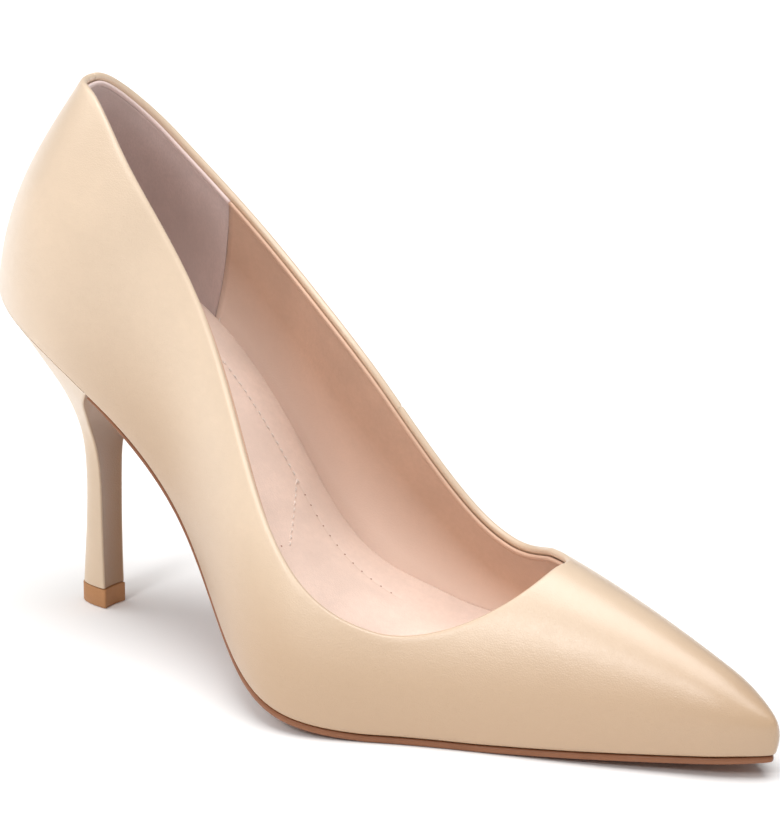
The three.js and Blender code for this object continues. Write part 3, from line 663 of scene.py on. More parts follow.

# The last colour of each leather is its painted shade colour: low on the upper's walls, and on the heel's
# breast.
upper_leather = smooth_leather("upper_leather", NUDE, 0.34, srgb(188, 157, 126))
heel_leather = smooth_leather("heel_leather", srgb(213, 187, 158), 0.38, srgb(163, 123, 86))
tan_lining = lining_leather("tan_lining", LINING_TAN, 0.55, 1100)
pink_sock = lining_leather("pink_sock", SOCK_PINK, 0.6, 1300)
grip_suede = suede("grip_suede", GRIP_MAUVE)
sole_resin = moulded("sole_resin", SOLE_BROWN, 0.42)
top_polyurethane = moulded("top_polyurethane", TOP_TAN, 0.5)
heel_plastic = moulded("heel_plastic", srgb(222, 217, 204), 0.45)
steel = metal("steel", srgb(158, 163, 168), 0.35, (0.15, 1, 1))
brass = metal("brass", srgb(196, 168, 108), 0.3, (1, 1, 0.2))
leatherboard = fibrous("leatherboard", srgb(196, 170, 134), 0.85, 1400, (0.3, 1, 1), 0.00004)
puff_sheet = fibrous("puff_sheet", srgb(222, 216, 200), 0.7, 900, (1, 1, 1), 0.00003)
woven_tape = fibrous("woven_tape", srgb(240, 236, 226), 0.9, 1800, (0.2, 1, 1), 0.00005)
cellulose = fibrous("cellulose", srgb(200, 172, 134), 0.88, 1200, (0.4, 1, 1), 0.00003)
fibreboard = fibrous("fibreboard", srgb(140, 110, 78), 0.85, 1200, (0.4, 1, 1), 0.00003)
cork = fibrous("cork", srgb(126, 98, 70), 0.95, 600, (1, 1, 1), 0.0001)
latex_foam = fibrous("latex_foam", srgb(232, 224, 208), 0.9, 1600, (1, 1, 1), 0.00008)
cream_thread = thread("cream_thread", srgb(247, 232, 222))
# painted shade for the needle holes
hole_shade = fibrous("hole_shade", srgb(188, 151, 134), 0.95, 1500, (1, 1, 1), 0.00002)

# ---- upper leather ----

MARGIN_ROWS, CORNER_ROWS, WALL_ROWS, BAND_ROWS = 5, 6, 44, 8
FOLD_ROWS, FLAP_ROWS, FLAP_BACK_ROWS, POCKET_ROWS = 11, 6, 5, 5
INNER_BAND_ROWS, INNER_WALL_ROWS = 4, 15
SEAT_TO_WAIST = (46, 62)      # the feather edge opens from the heel seat's small radius between these
CORNER_SHARE = 0.6            # the most of the margin that the feather edge's radius may take
# painted shade low on the upper's walls: it comes in over the x span and fades out over the height span
PAINTED_SHADE_X, PAINTED_SHADE_HEIGHT = (20, 75), (2, 48)
# painted shade at the foot of the upper's wall, within this height of the feather line
FOOT_PAINTED_SHADE, FOOT_PAINTED_SHADE_HEIGHT = 0.4, 4
# painted highlight on the topline fold and on the turned-in flap
FOLD_HIGHLIGHT, FOLD_HIGHLIGHT_DROP, FLAP_HIGHLIGHT = 0.6, 1.2, 0.3
BACK_SEAM_REACH, FAR = 12, 40


def seam_distance(side, point, xs):
    """Distance from the nearest seam of the upper: the back seam, or the seam at the medial waist."""
    back = np.abs(point[..., 1] - axis_y(0)) + FAR * (xs > BACK_SEAM_REACH)
    if side == LATERAL:
        return back
    return np.minimum(back, np.abs(xs - WAIST_SEAM_X))


def seam_dip(side, point, xs):
    inside = clamp(1 - seam_distance(side, point, xs) / SEAM_RADIUS)
    return SEAM_RADIUS * (1 - np.sqrt(1 - inside**2))


def leather_patches(shell, side, xs, fore):
    """One side of the upper, between two columns, outside and inside. fore is True forward of the throat."""
    margin = margin_width(xs)
    radius = lerp(SEAT_RADIUS, FEATHER_RADIUS, smoothstep(xs, *SEAT_TO_WAIST))
    corner = np.minimum(radius, CORNER_SHARE * margin)
    corner_level = corner / (3 * np.hypot(rise(xs), bulge[side](xs)))
    top = np.ones_like(xs) if fore else top_level(xs, side, BAND)

    rows, rim, foot, burnish = [], [], [], []

    def row(points, on_rim=0.0, on_foot=0.0):
        rows.append(points)
        rim.append(on_rim)
        foot.append(on_foot)
        height = points[..., 2] - feather_z(xs)
        # painted shade, low on the walls
        burnish.append(smoothstep(xs, *PAINTED_SHADE_X) * (1 - smoothstep(height, *PAINTED_SHADE_HEIGHT)))

    for share in np.linspace(0, 1, MARGIN_ROWS):
        row(plan(edge_inset(xs, side, lerp(margin, corner, share)), 0 * xs), 0, 1)
    start, tip, end = rows[-1], skin(xs, 0, side), wall(xs, corner_level, side, 0)
    for share in np.linspace(0, 1, CORNER_ROWS)[1:]:
        row((1 - share) ** 2 * start + 2 * share * (1 - share) * tip + share**2 * end, 0, 1 - share)
    for share in np.linspace(0, 1, WALL_ROWS + 1)[1:]:
        level = lerp(corner_level, top, share)
        point = skin(xs, level, side)
        dip = seam_dip(side, point, xs)
        height = point[..., 2] - feather_z(xs)
        row(wall(xs, level, side, dip), 0, clamp(1 - height / FOOT_PAINTED_SHADE_HEIGHT) ** 2 * FOOT_PAINTED_SHADE)
    if not fore:
        for drop in np.linspace(BAND, FOLD_RADIUS, BAND_ROWS)[1:]:
            dip = seam_dip(side, band(side, xs, drop), xs)
            tint = clamp(1 - (drop - FOLD_RADIUS) / FOLD_HIGHLIGHT_DROP) * FOLD_HIGHLIGHT
            row(band(side, xs, drop, dip), tint)
        point, normal, up = rim_frame(side, xs, FOLD_RADIUS)
        dip = seam_dip(side, point, xs)[..., None]
        for share in np.linspace(0, 1, FOLD_ROWS)[1:]:
            turn = math.pi * share
            inward = FOLD_RADIUS * (1 - math.cos(turn)) + dip * (1 - share)
            row(point - normal * inward + up * FOLD_RADIUS * math.sin(turn), 1)
        for drop in np.linspace(FOLD_RADIUS, FLAP_DEPTH, FLAP_ROWS)[1:]:
            row(band(side, xs, drop, 2 * FOLD_RADIUS), FLAP_HIGHLIGHT)
        flap_inside = 2 * FOLD_RADIUS - FLAP_THICKNESS
        for drop in np.linspace(FLAP_DEPTH, POCKET_DROP, FLAP_BACK_ROWS):
            row(band(side, xs, drop, flap_inside))
        point, normal, up = rim_frame(side, xs, POCKET_DROP)
        centre, radius = (flap_inside + LEATHER) / 2, (flap_inside - LEATHER) / 2
        for turn in np.linspace(0, math.pi, POCKET_ROWS)[1:-1]:
            row(point - normal * (centre + radius * math.cos(turn)) + up * radius * math.sin(turn))
        for drop in np.linspace(POCKET_DROP, BAND, INNER_BAND_ROWS):
            row(band(side, xs, drop, LEATHER))
    outside = len(rows)
    for share in np.linspace(1, 0, INNER_WALL_ROWS)[(0 if fore else 1):]:
        row(wall(xs, lerp(0, top, share), side, LEATHER, LEATHER))
    for share in np.linspace(0, 1, MARGIN_ROWS)[1:]:
        row(plan(edge_inset(xs, side, lerp(LEATHER, margin, share)), LEATHER + 0 * xs))
    row(rows[0])

    return add_rows(shell, rows, outside if fore else None, rim=rim, foot=foot, burnish=burnish)


REAR_END = THROAT_X + BAND
BACK_SEAM_X, QUARTER_END_X = 0.0004, WAIST_SEAM_X - 0.04
FORE_COLUMNS, LATERAL_COLUMNS, MEDIAL_COLUMNS, QUARTER_COLUMNS = 74, 170, 84, 110
SEAM_COLUMNS = np.array([0, 0.03, 0.1, 0.2, 0.35, 0.55, 0.8])
SEAM_CLEAR = 1


def seam_refined(xs, seam):
    """Stations with extra ones beside a seam, so that its edge can be rounded."""
    near = seam + SEAM_COLUMNS * np.sign(xs.mean() - seam)
    return np.unique(np.concatenate([near, xs[np.abs(xs - seam) > SEAM_CLEAR]]))


fore_xs = stations(REAR_END, LENGTH, FORE_COLUMNS, False, True)
lateral_xs = stations(0, REAR_END, LATERAL_COLUMNS, True, True)
medial_xs = seam_refined(stations(WAIST_SEAM_X, REAR_END, MEDIAL_COLUMNS, False, True), WAIST_SEAM_X)
quarter_xs = seam_refined(stations(BACK_SEAM_X, QUARTER_END_X, QUARTER_COLUMNS, True, False), QUARTER_END_X)

vamp = Shell()
lateral_grid = leather_patches(vamp, LATERAL, lateral_xs, False)
leather_patches(vamp, LATERAL, fore_xs, True)
medial_grid = leather_patches(vamp, MEDIAL, medial_xs, False)
leather_patches(vamp, MEDIAL, fore_xs, True)
vamp.cap(lateral_grid[0])
vamp.cap(medial_grid[0])
vamp_piece = vamp.build("vamp_leather", upper_leather, "upper_leather")
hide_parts("vamp_upper")

quarter = Shell()
quarter_grid = leather_patches(quarter, MEDIAL, quarter_xs, False)
quarter.cap(quarter_grid[0])
quarter.cap(quarter_grid[-1])
quarter_piece = quarter.build("quarter_leather", upper_leather, "upper_leather")
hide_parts("medial_quarter")

# ---- linings ----

LINING_WALL_ROWS, BEAD_ROWS, LINING_BACK_ROWS = 41, 9, 13
LINING_DROPS, FINE_DROP_START, FINE_DROP_STEP = [8, 7, 6, 5, 4.2, 3.6], 3.3, 0.12
LINING_BACK_DROPS = (4, 6.5, BAND)
# painted light low on the lining walls: its value at the foot, and the share of the height over which it
# falls by one
LINING_PAINTED_LIGHT, LINING_PAINTED_LIGHT_REACH = 1.12, 0.7
# paler raw edge with a painted highlight, near the lining's bead
EDGE_PALE_AND_HIGHLIGHT, EDGE_PALE_AND_HIGHLIGHT_DROPS = 0.8, (2, 2.3)
BEAD_DROPS = (1.85, 2.35)
LINING_GROOVE, LINING_GROOVE_WIDTH = 0.22, 0.28
CLOSE_DROP = 3


def lining_depth(drop):
    """Depth of the lining's visible face: a bead along its edge above a sunk row of stitches."""
    bead = BEAD_PROUD * (1 - smoothstep(drop, *BEAD_DROPS))
    groove = math.exp(-(((drop - LINING_STITCH_DROP) / LINING_GROOVE_WIDTH) ** 2))
    return LINING_IN + bead - LINING_GROOVE * groove


def close(drop):
    """How far the lining moves out towards the fold of the leather."""
    return RIM_CLOSE * (1 - smoothstep(drop, CLOSE_DROP, BAND))


def lining_patches(shell, side, xs, fore, lean=0):
    """One side of a lining. lean is how far forward the upper end of each column lies."""
    def at(share, depth):
        x = xs + lean * share
        top = np.ones_like(x) if fore else top_level(x, side, BAND)
        return wall(x, lerp(0, top, share), side, depth, WALL_FOOT)

    def in_band(drop, depth):
        return band(side, xs + lean, drop, depth - close(drop), WALL_FOOT)

    rows, rim, foot = [], [], []

    def row(points, on_rim=0, on_foot=0):
        rows.append(points)
        rim.append(on_rim)
        foot.append(on_foot)

    for share in np.linspace(0, 1, LINING_WALL_ROWS):
        row(at(share, LINING_IN), 0, clamp(LINING_PAINTED_LIGHT - share / LINING_PAINTED_LIGHT_REACH))
    inside = len(rows)
    if not fore:
        bead_drop = LINING_TRIM + BEAD_RADIUS
        fine_drops = np.arange(FINE_DROP_START, bead_drop, -FINE_DROP_STEP)
        for drop in np.concatenate([LINING_DROPS, fine_drops, [bead_drop]]):
            row(in_band(drop, lining_depth(drop)), EDGE_PALE_AND_HIGHLIGHT * (1 - smoothstep(drop, *EDGE_PALE_AND_HIGHLIGHT_DROPS)))
        point, normal, up = rim_frame(side, xs + lean, bead_drop)
        centre = (LINING_IN + BEAD_PROUD + LINING_OUT) / 2 - RIM_CLOSE
        half = (LINING_IN + BEAD_PROUD - LINING_OUT) / 2
        for turn in np.linspace(0, math.pi, BEAD_ROWS)[1:]:
            row(point - normal * (centre + half * math.cos(turn)) + up * BEAD_RADIUS * math.sin(turn), 1)
        for drop in LINING_BACK_DROPS:
            row(in_band(drop, LINING_OUT))
    for share in np.linspace(1, 0, LINING_BACK_ROWS)[(0 if fore else 1):]:
        row(at(share, LINING_OUT))
    row(rows[0])
    return add_rows(shell, rows, inside if fore else None, rim=rim, foot=foot)


LINING_REAR_COLUMNS, LINING_FORE_COLUMNS, GRIP_COLUMNS = 130, 50, 90
GRIP_GAP = 0.12
LEAN, LEAN_FADE = GRIP_TOP - GRIP_BOTTOM, 1.6

lining_rear = stations(GRIP_BOTTOM, REAR_END, LINING_REAR_COLUMNS, False, True)
lining_fore = stations(REAR_END, NOSE_X, LINING_FORE_COLUMNS, False, False)
along = (lining_rear - lining_rear[0]) / (lining_rear[-1] - lining_rear[0])

lining = Shell()
for one_side in SIDES:
    start_grid = lining_patches(lining, one_side, lining_rear, False, LEAN * clamp(1 - along * LEAN_FADE))
    end_grid = lining_patches(lining, one_side, lining_fore, True)
    lining.cap(start_grid[0])
    lining.cap(end_grid[-1])
lining_piece = lining.build("forepart_lining", tan_lining, "lining_leather")
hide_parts("vamp_lining")

grip_xs = stations(0, GRIP_BOTTOM - GRIP_GAP, GRIP_COLUMNS, True, False)
grip = Shell()
for one_side in SIDES:
    grip_grid = lining_patches(grip, one_side, grip_xs, False, LEAN * (grip_xs / grip_xs[-1]) ** 2)
    grip.cap(grip_grid[-1])
grip_piece = grip.build("heel_grip", grip_suede, "grip_suede")
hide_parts("heel_grip_lining")

# ---- tape inside the folded edge ----

TAPE_DEPTH, TAPE_THICKNESS = 1.18, 0.24
TAPE_DROPS = np.linspace(1.4, 6, 6)
TAPE_FRONT, TAPE_COLUMNS = 168, 120

tape = Shell()
tape_xs = stations(0, TAPE_FRONT, TAPE_COLUMNS, True, False)
for one_side in SIDES:
    tape_loop = [band(one_side, tape_xs, drop, TAPE_DEPTH) for drop in TAPE_DROPS]
    tape_loop += [band(one_side, tape_xs, drop, TAPE_DEPTH + TAPE_THICKNESS) for drop in TAPE_DROPS[::-1]]
    tape.grid(columns(tape_loop + tape_loop[:1]))
    tape.cap(columns(tape_loop)[-1])
tape_piece = tape.build("edge_tape", woven_tape, "tape", sharp=50)
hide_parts("topline_tape")

# ---- sock and foam ----


def board_top(x):
    base = lerp(SHANK_BOARD_TOP + BOARD_GAP, WALL_FOOT, smoothstep(x, *BOARD_RAMP))
    return base + BOARD_THICKNESS


def swell(x, ramp):
    return smoothstep(x, ramp[0], ramp[1]) * (1 - smoothstep(x, ramp[2], ramp[3]))


def cross_share(point, inset):
    """0 on the lateral edge of a board and 1 on its medial edge."""
    x = point[..., 0]
    low = edge_inset(x, LATERAL, inset)[..., 1]
    high = edge_inset(x, MEDIAL, inset)[..., 1]
    return clamp((point[..., 1] - low) / np.maximum(high - low, NARROWEST))


def sock_under(point):
    x = point[..., 0]
    t = cross_share(point, SOCK_INSET)
    crown_share = 1 - np.abs(2 * t - 1) ** OVER_FOAM_SQUARENESS
    return board_top(x) + SOCK_GAP + OVER_FOAM * swell(x, SOCK_RAMP) * crown_share


SOCK_RIM, SOCK_MIDDLE_HALF, SOCK_FULL_X = 14, 6, 30
SOCK_INSETS = np.concatenate([
    [0, 0.12, 0.3, 0.5, 0.8, 1.3, 2, 2.8, 3.6, 4.2, 5.4, 6.4, 7.2],
    np.arange(7.6, 9.1, 0.15),
    [9.6, 10.5, 12, SOCK_RIM],
])
SOCK_MIDDLE_ROWS, SOCK_COLUMNS, SOCK_END_INSET = 16, 180, 4
SOCK_GROOVE, SOCK_GROOVE_WIDTH = 0.2, 0.45
SOCK_EDGE_ROUND, SOCK_EDGE_WIDTH = 0.35, 0.5
STITCH_TO_X, STITCH_FADE = 110, 4
CURL_HEIGHT, CURL_START, CURL_END = (0.2, 4.2), (98, 140), (190, 212)
CURL_GAP = 0.05
FOAM_COLUMNS, FOAM_ROWS, FOAM_SQUARENESS = 40, 31, 4


def sock_groove(inset, x):
    sewn = 1 - smoothstep(x, STITCH_TO_X, STITCH_TO_X + STITCH_FADE)
    return SOCK_GROOVE * np.exp(-(((inset - SOCK_STITCH_INSET) / SOCK_GROOVE_WIDTH) ** 2)) * sewn


def sock_rows(xs):
    """Insets from one edge to the other: finer at the edge and beside the stitches."""
    half = (half_width[LATERAL](xs) + half_width[MEDIAL](xs)) * end_cap(xs) / 2
    room = np.where(xs < SOCK_FULL_X, 1, np.minimum(1, half / (SOCK_RIM + SOCK_MIDDLE_HALF)))
    insets = [inset * room for inset in SOCK_INSETS]
    lateral = [(edge_inset(xs, LATERAL, SOCK_INSET + inset), inset) for inset in insets]
    medial = [(edge_inset(xs, MEDIAL, SOCK_INSET + inset), inset) for inset in insets[::-1]]
    a, b = lateral[-1][0], medial[0][0]
    middle = [(lerp(a, b, share), SOCK_RIM * room) for share in np.linspace(0, 1, SOCK_MIDDLE_ROWS)[1:-1]]
    return lateral + middle + medial


def curl(side, xs, thickness):
    """How far the sock's edge moves to lie against the lining, where it curls up the wall."""
    flat = edge_inset(xs, side, SOCK_INSET + 0 * xs)
    rest = sock_under(flat) + thickness
    height = rest + lerp(*CURL_HEIGHT, smoothstep(xs, *CURL_START)) * (1 - smoothstep(xs, *CURL_END))
    against = wall(xs, height / (3 * rise(xs)), side, LINING_IN + CURL_GAP, WALL_FOOT)
    return against - plan(flat, rest)


sock_xs = stations(0, BOARD_END - SOCK_END_INSET, SOCK_COLUMNS, True, False)
top_curls = {one_side: curl(one_side, sock_xs, SOCK_THICKNESS) for one_side in SIDES}
low_curls = {one_side: curl(one_side, sock_xs, 0) for one_side in SIDES}
sock_top, sock_low = [], []
sock_lines = sock_rows(sock_xs)
for number, (point, inset) in enumerate(sock_lines):
    round_off = SOCK_EDGE_ROUND * (1 - np.sqrt(1 - clamp(1 - inset / SOCK_EDGE_WIDTH) ** 2))
    height = sock_under(point) + SOCK_THICKNESS - round_off - sock_groove(inset, point[..., 0])
    one_side = LATERAL if number < len(sock_lines) / 2 else MEDIAL
    share = (clamp(1 - inset / SOCK_CURL_REACH) ** 2)[:, None]
    sock_top.append(plan(point, height) + top_curls[one_side] * share)
    sock_low.append(plan(point, sock_under(point)) + low_curls[one_side] * share)
sock = Shell()
slab(sock, sock_top, sock_low, ends=(-1,))
sock_piece = sock.build("sock", pink_sock, "sock_leather")
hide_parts("sock_lining")

foam_xs = stations(*FOAM_X, FOAM_COLUMNS, True, True)
foam_top, foam_low = [], []
for share in np.linspace(0, 1, FOAM_ROWS):
    point = lerp(edge_inset(foam_xs, LATERAL, FOAM_INSET), edge_inset(foam_xs, MEDIAL, FOAM_INSET), share)
    base = board_top(point[..., 0]) + FOAM_GAP
    crown_share = 1 - abs(2 * share - 1) ** FOAM_SQUARENESS
    thick = FOAM_EDGE + FOAM_SWELL * swell(point[..., 0], FOAM_RAMP) * crown_share
    foam_low.append(plan(point, base))
    foam_top.append(plan(point, base + thick))
foam = Shell()
slab(foam, foam_top, foam_low)
foam_piece = foam.build("foam_pad", latex_foam, "foam", sharp=50)
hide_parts("sock_foam")

# ---- stitches ----

# (share of the radius, height) down a needle hole, and (share of the length, radius, height) along a stitch.
HOLE_PROFILE = ((0, -0.3), (0.8, -0.2), (1, 0.02), (0.7, 0.05), (0, 0.05))
STITCH_PROFILE = ((0, 0, -0.9), (0.06, 0.6, -0.5), (0.22, 1, 0.25), (0.5, 1.05, 0.5), (0.78, 1, 0.25),
                  (0.94, 0.6, -0.5), (1, 0, -0.9))
THREAD_SIDES, HOLE_SIDES = 9, 11


def resample(points, pitch):
    """Points one pitch apart along a polyline."""
    step = np.linalg.norm(np.diff(points, axis=0), axis=1)
    length = np.concatenate([[0], np.cumsum(step)])
    where = np.arange(0, length[-1], pitch)
    return np.stack([np.interp(where, length, points[:, axis]) for axis in range(3)], 1)


def ring(at, across, ahead, radius, count):
    turn = np.linspace(0, 2 * math.pi, count)[:, None]
    return at + (across * np.cos(turn) + ahead * np.sin(turn)) * radius


def stitch_row(shell, points, outward, pitch, width, gap):
    """A row of short thread bars along a line, each dipping into the surface at both ends."""
    nodes = resample(points, pitch)
    nearest = np.linalg.norm(points[None] - nodes[:, None], axis=2).argmin(1)
    for a, b, up in zip(nodes[:-1], nodes[1:], unit(outward[nearest])):
        along = unit(b - a)
        across = unit(np.cross(along, up))
        shell.grid(np.array([
            ring(a + along * (share * (pitch - gap) + gap / 2) + up * height * width, across, up,
                 radius * width / 2, THREAD_SIDES)
            for share, radius, height in STITCH_PROFILE]))


def needle_holes(shell, points, outward, pitch):
    """Small dimples where the thread has pulled below the surface, coloured dark with painted shade."""
    for at in resample(points, pitch):
        nearest = np.linalg.norm(points - at, axis=1).argmin()
        up = unit(outward[nearest])
        ahead = unit(points[min(nearest + 1, len(points) - 1)] - points[max(nearest - 1, 0)])
        across = np.cross(up, ahead)
        shell.grid(np.array([
            ring(at + up * height, across, ahead, HOLE_RADIUS * size, HOLE_SIDES)
            for size, height in HOLE_PROFILE]))


LINE_POINTS = 400
THREAD_TO_X, HOLES_FROM_X = 81, 82.5
SOCK_PITCH, SOCK_THREAD, SOCK_THREAD_GAP, SOCK_THREAD_SUNK = 2.3, 0.42, 0.6, 0.2
HOLE_PITCH, HOLE_RADIUS, HOLE_SUNK = 3.2, 0.26, 0.17
V_APEX_X, V_APEX_Y, V_END_X, V_POINTS = 89.5, 0, 79, 160
V_THREAD, V_GAP = 0.46, 0.4
GRIP_PITCH, GRIP_THREAD, GRIP_THREAD_GAP = 2.2, 0.4, 0.6
GRIP_STITCH_X, GRIP_STITCH_SHARES, GRIP_STITCH_POINTS = 1.2, (0.03, 0.3), 60


def sock_line(side, from_x, to_x, sunk):
    """The line of the sock's stitches along one edge, and its upward directions."""
    xs = np.linspace(from_x, to_x, LINE_POINTS) if from_x else stations(0, to_x, LINE_POINTS, True, False)
    point = edge_inset(xs, side, SOCK_INSET + SOCK_STITCH_INSET)
    height = sock_under(point) + SOCK_THICKNESS - sunk
    lift = curl(side, xs, SOCK_THICKNESS) * clamp(1 - SOCK_STITCH_INSET / SOCK_CURL_REACH) ** 2
    return plan(point, height) + lift, bottom_normal(point[..., 0])


stitches, holes = Shell(), Shell()
for one_side in SIDES:
    line, outward = sock_line(one_side, 0, THREAD_TO_X, SOCK_THREAD_SUNK)
    stitch_row(stitches, line, outward, SOCK_PITCH, SOCK_THREAD, SOCK_THREAD_GAP)
    line, outward = sock_line(one_side, HOLES_FROM_X, STITCH_TO_X, HOLE_SUNK)
    needle_holes(holes, line, outward, HOLE_PITCH)

    far = edge_inset(np.array([float(V_END_X)]), one_side, SOCK_INSET + SOCK_STITCH_INSET)[0]
    share = np.linspace(0, 1, V_POINTS)
    line_x = lerp(far[0], V_APEX_X, share)
    point = xyz(line_x, lerp(far[1], V_APEX_Y, share), 0)
    line = plan(point, sock_under(point) + SOCK_THICKNESS)
    if one_side == MEDIAL:
        stitch_row(stitches, line, bottom_normal(line_x), SOCK_PITCH, V_THREAD, V_GAP)
    else:
        needle_holes(holes, line, bottom_normal(line_x), SOCK_PITCH)

    share = np.linspace(*GRIP_STITCH_SHARES, GRIP_STITCH_POINTS)
    line_x = GRIP_BOTTOM + GRIP_STITCH_X + LEAN * share
    level = share * top_level(line_x, one_side, BAND)
    line = wall(line_x, level, one_side, LINING_IN, WALL_FOOT)
    inward = -skin_normal(line_x, level, one_side)
    stitch_row(stitches, line, inward, GRIP_PITCH, GRIP_THREAD, GRIP_THREAD_GAP)
stitches.build("sock_stitches", cream_thread, "sock_leather")
holes.build("sock_needle_holes", hole_shade, "sock_leather")

# ---- sole ----

SOLE_EDGE, SOLE_BOW, SOLE_SQUARENESS = 0.55, 0.9, 0.7
SOLE_RAMP = (84, 118)
SOLE_COLUMNS, SOLE_TOE_COLUMNS = 110, 26
EDGE_TURNS = np.linspace(math.pi / 2, -math.pi / 2, 11)
SOLE_SHARES = np.linspace(0, 1, 25)
sole_xs = np.concatenate([
    stations(OUTSOLE_BACK, OUTSOLE_TOE_X, SOLE_COLUMNS, False, False),
    stations(OUTSOLE_TOE_X, LENGTH, SOLE_TOE_COLUMNS, False, True)[1:],
])


def sole_edge(side):
    """Half round edge, from the top face to the bottom face."""
    low = lerp(SOLE_WAIST, SOLE_FORE, smoothstep(sole_xs, *SOLE_RAMP))
    rows = []
    for turn in EDGE_TURNS:
        inset = SOLE_EDGE + SOLE_BOW * (1 - abs(math.cos(turn)) ** SOLE_SQUARENESS)
        share = np.sign(math.sin(turn)) * abs(math.sin(turn)) ** SOLE_SQUARENESS
        rows.append(plan(edge_inset(sole_xs, side, inset), lerp(low, SOLE_TOP, (1 + share) / 2)))
    return rows


outsole = Shell()
lateral_rows, medial_rows = sole_edge(LATERAL), sole_edge(MEDIAL)
outsole.grid(columns(lateral_rows))
outsole.grid(columns(medial_rows), flip=True)
sole_top = [lerp(lateral_rows[0], medial_rows[0], share) for share in SOLE_SHARES]
sole_low = [lerp(lateral_rows[-1], medial_rows[-1], share) for share in SOLE_SHARES]
outsole.grid(columns(sole_top))
outsole.grid(columns(sole_low), flip=True)
outsole.cap([row[0] for row in lateral_rows + sole_low[1:-1] + medial_rows[::-1] + sole_top[-2:0:-1]])
outsole_piece = outsole.build("sole", sole_resin, "sole_rubber", sharp=60)
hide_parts("outsole")

# ---- heel ----

heel_level, *heel_columns = zip(*HEEL_PROFILE)
heel_breast_x, heel_breast_z, heel_back_x, heel_back_z, heel_half = (
    spline(list(zip(heel_level, column))) for column in heel_columns)
CORNER_ROUND = 0.7
COVER_THICKNESS = 0.8
HEEL_SIDE_POINTS, HEEL_CORNER_POINTS, HEEL_BREAST_POINTS = 44, 5, 18
BREAST_START = 2 * HEEL_SIDE_POINTS - 1 + HEEL_CORNER_POINTS
BREAST_COLUMNS = slice(BREAST_START, BREAST_START + HEEL_BREAST_POINTS)
HEEL_LEVELS = np.concatenate([[0.096, 0.1], np.linspace(0.11, 0.5, 20), np.linspace(0.52, 1, 42)])


def heel_side(level, q, side, inset):
    """A point of the heel's side: q is 0 on the breast and 1 at the back."""
    q = np.asarray(q, float)
    squared = np.maximum(1 - q**HEEL_SQUARENESS, 0) ** (1 / HEEL_SQUARENESS)

    def stem(at):
        return xyz(
            lerp(heel_breast_x(at) - inset, heel_back_x(at) + inset, q),
            side * (heel_half(at) - inset) * squared,
            lerp(heel_breast_z(at), heel_back_z(at), q),
        )

    seat = edge_inset((heel_breast_x(1) - inset) * (1 - q), side, inset)
    return stem(level) + (seat - stem(1)) * smoothstep(level, HEEL_SEAT_BLEND, 1)


def heel_loop(level, inset=0.0):
    """Closed outline at one level, with a rounded corner on each side of the breast."""
    length = float(heel_breast_x(level) - heel_back_x(level))
    q = np.sin(np.linspace(math.asin(CORNER_ROUND / length), math.pi / 2, HEEL_SIDE_POINTS))
    lateral, medial = heel_side(level, q, LATERAL, inset), heel_side(level, q[::-1], MEDIAL, inset)
    corner = {side: heel_side(level, [0.0], side, inset)[0] for side in SIDES}
    edge = CORNER_ROUND / np.linalg.norm(corner[MEDIAL] - corner[LATERAL])

    def breast(t):
        t = np.asarray(t, float)[:, None]
        point = lerp(corner[MEDIAL], corner[LATERAL], t)
        point[:, 0] -= (HEEL_BREAST_HOLLOW * 4 * t * (1 - t))[:, 0]
        return point

    across = breast(np.linspace(edge, 1 - edge, HEEL_BREAST_POINTS))
    t = np.linspace(0, 1, HEEL_CORNER_POINTS + 2)[1:-1, None]

    def rounded(a, tip, b):
        return (1 - t) ** 2 * a + 2 * t * (1 - t) * tip + t**2 * b

    return np.concatenate([
        lateral, medial[1:], rounded(medial[-1], corner[MEDIAL], across[0]), across,
        rounded(across[-1], corner[LATERAL], lateral[0]), lateral[:1]])


def heel_rows(inset):
    rows = np.array([heel_loop(level, inset) for level in HEEL_LEVELS])
    rows[0, :, 2] = HEEL_START_Z
    seat_x = rows[-1, :, 0]
    rows[-1, :, 2] = feather_z(seat_x) - HEEL_SEAT_GAP / bottom_normal(seat_x)[:, 2]
    return rows


cover_out, cover_in = heel_rows(0.0), heel_rows(COVER_THICKNESS)
# painted shade: the breast of the heel cover is coloured darker
burnish = np.zeros(cover_out.shape[1])
burnish[BREAST_COLUMNS] = 1
cover = Shell()
cover.grid(cover_out, burnish=burnish)
cover.grid(cover_in, flip=True)
for end in (0, -1):
    cover.grid(np.stack([cover_out[end], cover_in[end]]), flip=end == 0)
cover_piece = cover.build("heel_covering", heel_leather, "heel_leather", sharp=60)
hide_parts("heel_cover")

# (inset, height) from the tread to half the height of the top piece.
TIP_PROFILE = ((0.9, 0), (0.35, 0), (0.105, 0.105), (0, 0.35), (0, TOP_PIECE_HEIGHT / 2))
# (radius, height) of the pocket for the pin and its head.
PIN_POCKET = ((1, TOP_PIECE_HEIGHT), (1, 2.9), (2.2, 2.9), (2.2, 1.5))
tip_rows = []
for inset, height in TIP_PROFILE + tuple((a, TOP_PIECE_HEIGHT - b) for a, b in TIP_PROFILE[-2::-1]):
    loop = heel_loop(0.0, inset)
    loop[:, 2] = height
    tip_rows.append(loop)
for radius, height in PIN_POCKET:
    spokes = (tip_rows[0] - [DOWEL_X, 0, 0]) * [1, 1, 0]
    tip_rows.append([DOWEL_X, 0, height] + radius * unit(spokes))
tip = Shell()
tip.grid(np.array(tip_rows))
for end in (0, -1):
    tip.cap(tip_rows[end][:-1])
tip_piece = tip.build("heel_tip", top_polyurethane, "top_piece_polyurethane", sharp=50)
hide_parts("top_piece")

# ---- pieces that keep their CAD shape ----

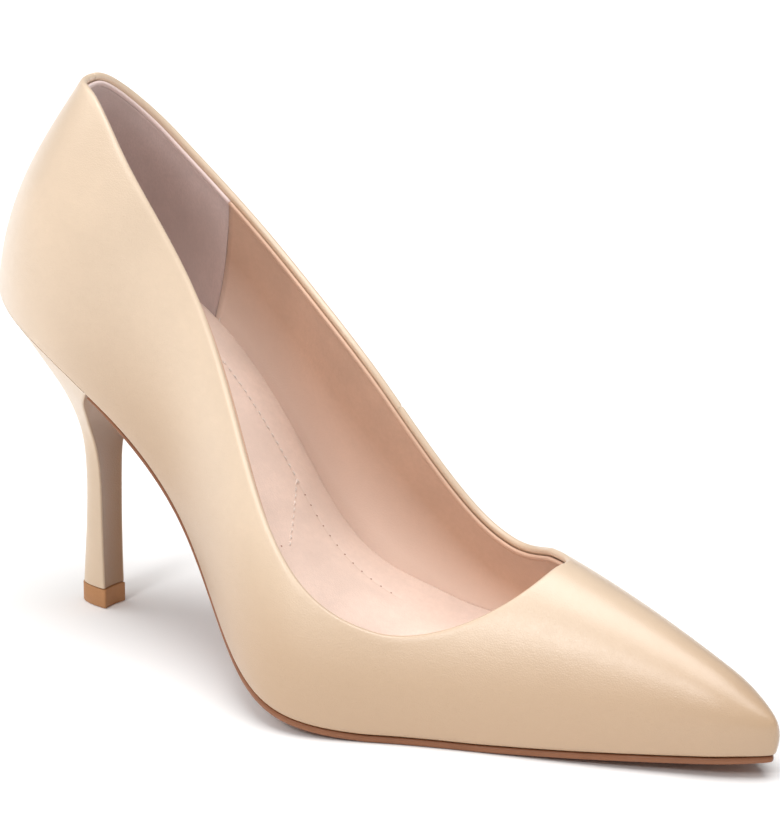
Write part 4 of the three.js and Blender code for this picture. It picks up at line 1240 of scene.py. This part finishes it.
KEPT = {
    "heel_counter": leatherboard, "toe_puff": puff_sheet, "insole_board": cellulose,
    "shank_board": fibreboard, "steel_shank": steel, "shank_rivet_1": brass, "shank_rivet_2": brass,
    "bottom_filler": cork, "heel_core": heel_plastic, "heel_tube": steel, "top_piece_pin": steel,
    "heel_screw": steel, **{f"heel_nail_{number}": steel for number in range(1, 5)},
}
for node, material in KEPT.items():
    for kept_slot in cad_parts[node].material_slots:
        kept_slot.material = material

# ---- studio ----

CAMERA_AZIMUTH, CAMERA_ELEVATION = 38.5, 18.9
CAMERA_DISTANCE = 1.359
CAMERA_TARGET = Vector(to_row((127.0, 0, 71.8)))
CAMERA_LENS = 232.9


def direction(azimuth, elevation):
    a, e = math.radians(azimuth), math.radians(elevation)
    return Vector((math.sin(a) * math.cos(e), -math.cos(a) * math.cos(e), math.sin(e)))


camera_data = bpy.data.cameras.new("camera")
camera_data.lens = CAMERA_LENS
camera_data.sensor_width = 36
camera_data.clip_start, camera_data.clip_end = 0.05, 50
camera = placed("camera", camera_data)
towards = direction(CAMERA_AZIMUTH, CAMERA_ELEVATION)
camera.location = CAMERA_TARGET + towards * CAMERA_DISTANCE
camera.rotation_mode = "QUATERNION"
camera.rotation_quaternion = (-towards).to_track_quat("-Z", "Y")
bpy.context.scene.camera = camera


def soft_sun(name, azimuth, elevation, spread, power):
    """A large distant softbox: `spread` is the angle it fills, in degrees."""
    data = bpy.data.lights.new(name, "SUN")
    data.angle = math.radians(spread)
    data.energy = power
    lamp = placed(name, data)
    lamp.rotation_mode = "QUATERNION"
    lamp.rotation_quaternion = direction(azimuth, elevation).to_track_quat("Z", "Y")


soft_sun("top_light", 75, 80, 50, 2.25)
soft_sun("side_light", -60, 52, 65, 1.1)
soft_sun("front_light", 6, 38, 14, 0.75)

world = bpy.data.worlds.new("studio")
world.use_nodes = True
background = world.node_tree.nodes["Background"].inputs
background["Color"].default_value = (1, 1, 1, 1)
background["Strength"].default_value = 0.28
bpy.context.scene.world = world
bpy.context.scene.view_settings.view_transform = "Standard"

FLOOR_HALF, FLOOR_DROP = 4, 0.0001
floor_mesh = bpy.data.meshes.new("floor")
floor_corners = [(x * FLOOR_HALF, y * FLOOR_HALF, 0) for x, y in ((-1, -1), (1, -1), (1, 1), (-1, 1))]
floor_mesh.from_pydata(floor_corners, [], [(0, 1, 2, 3)])
floor = placed("floor", floor_mesh)
floor.location.z = -FLOOR_DROP
FLOOR_WHITE, FLOOR_GREY = (0.97, 0.97, 0.97), (0.95, 0.95, 0.95)
floor_look = Nodes("floor_paper", FLOOR_GREY, 0.9)
floor_look.tone = floor_look.mix(floor_look.noise(3), FLOOR_GREY, FLOOR_WHITE)
floor_mesh.materials.append(floor_look.finished())
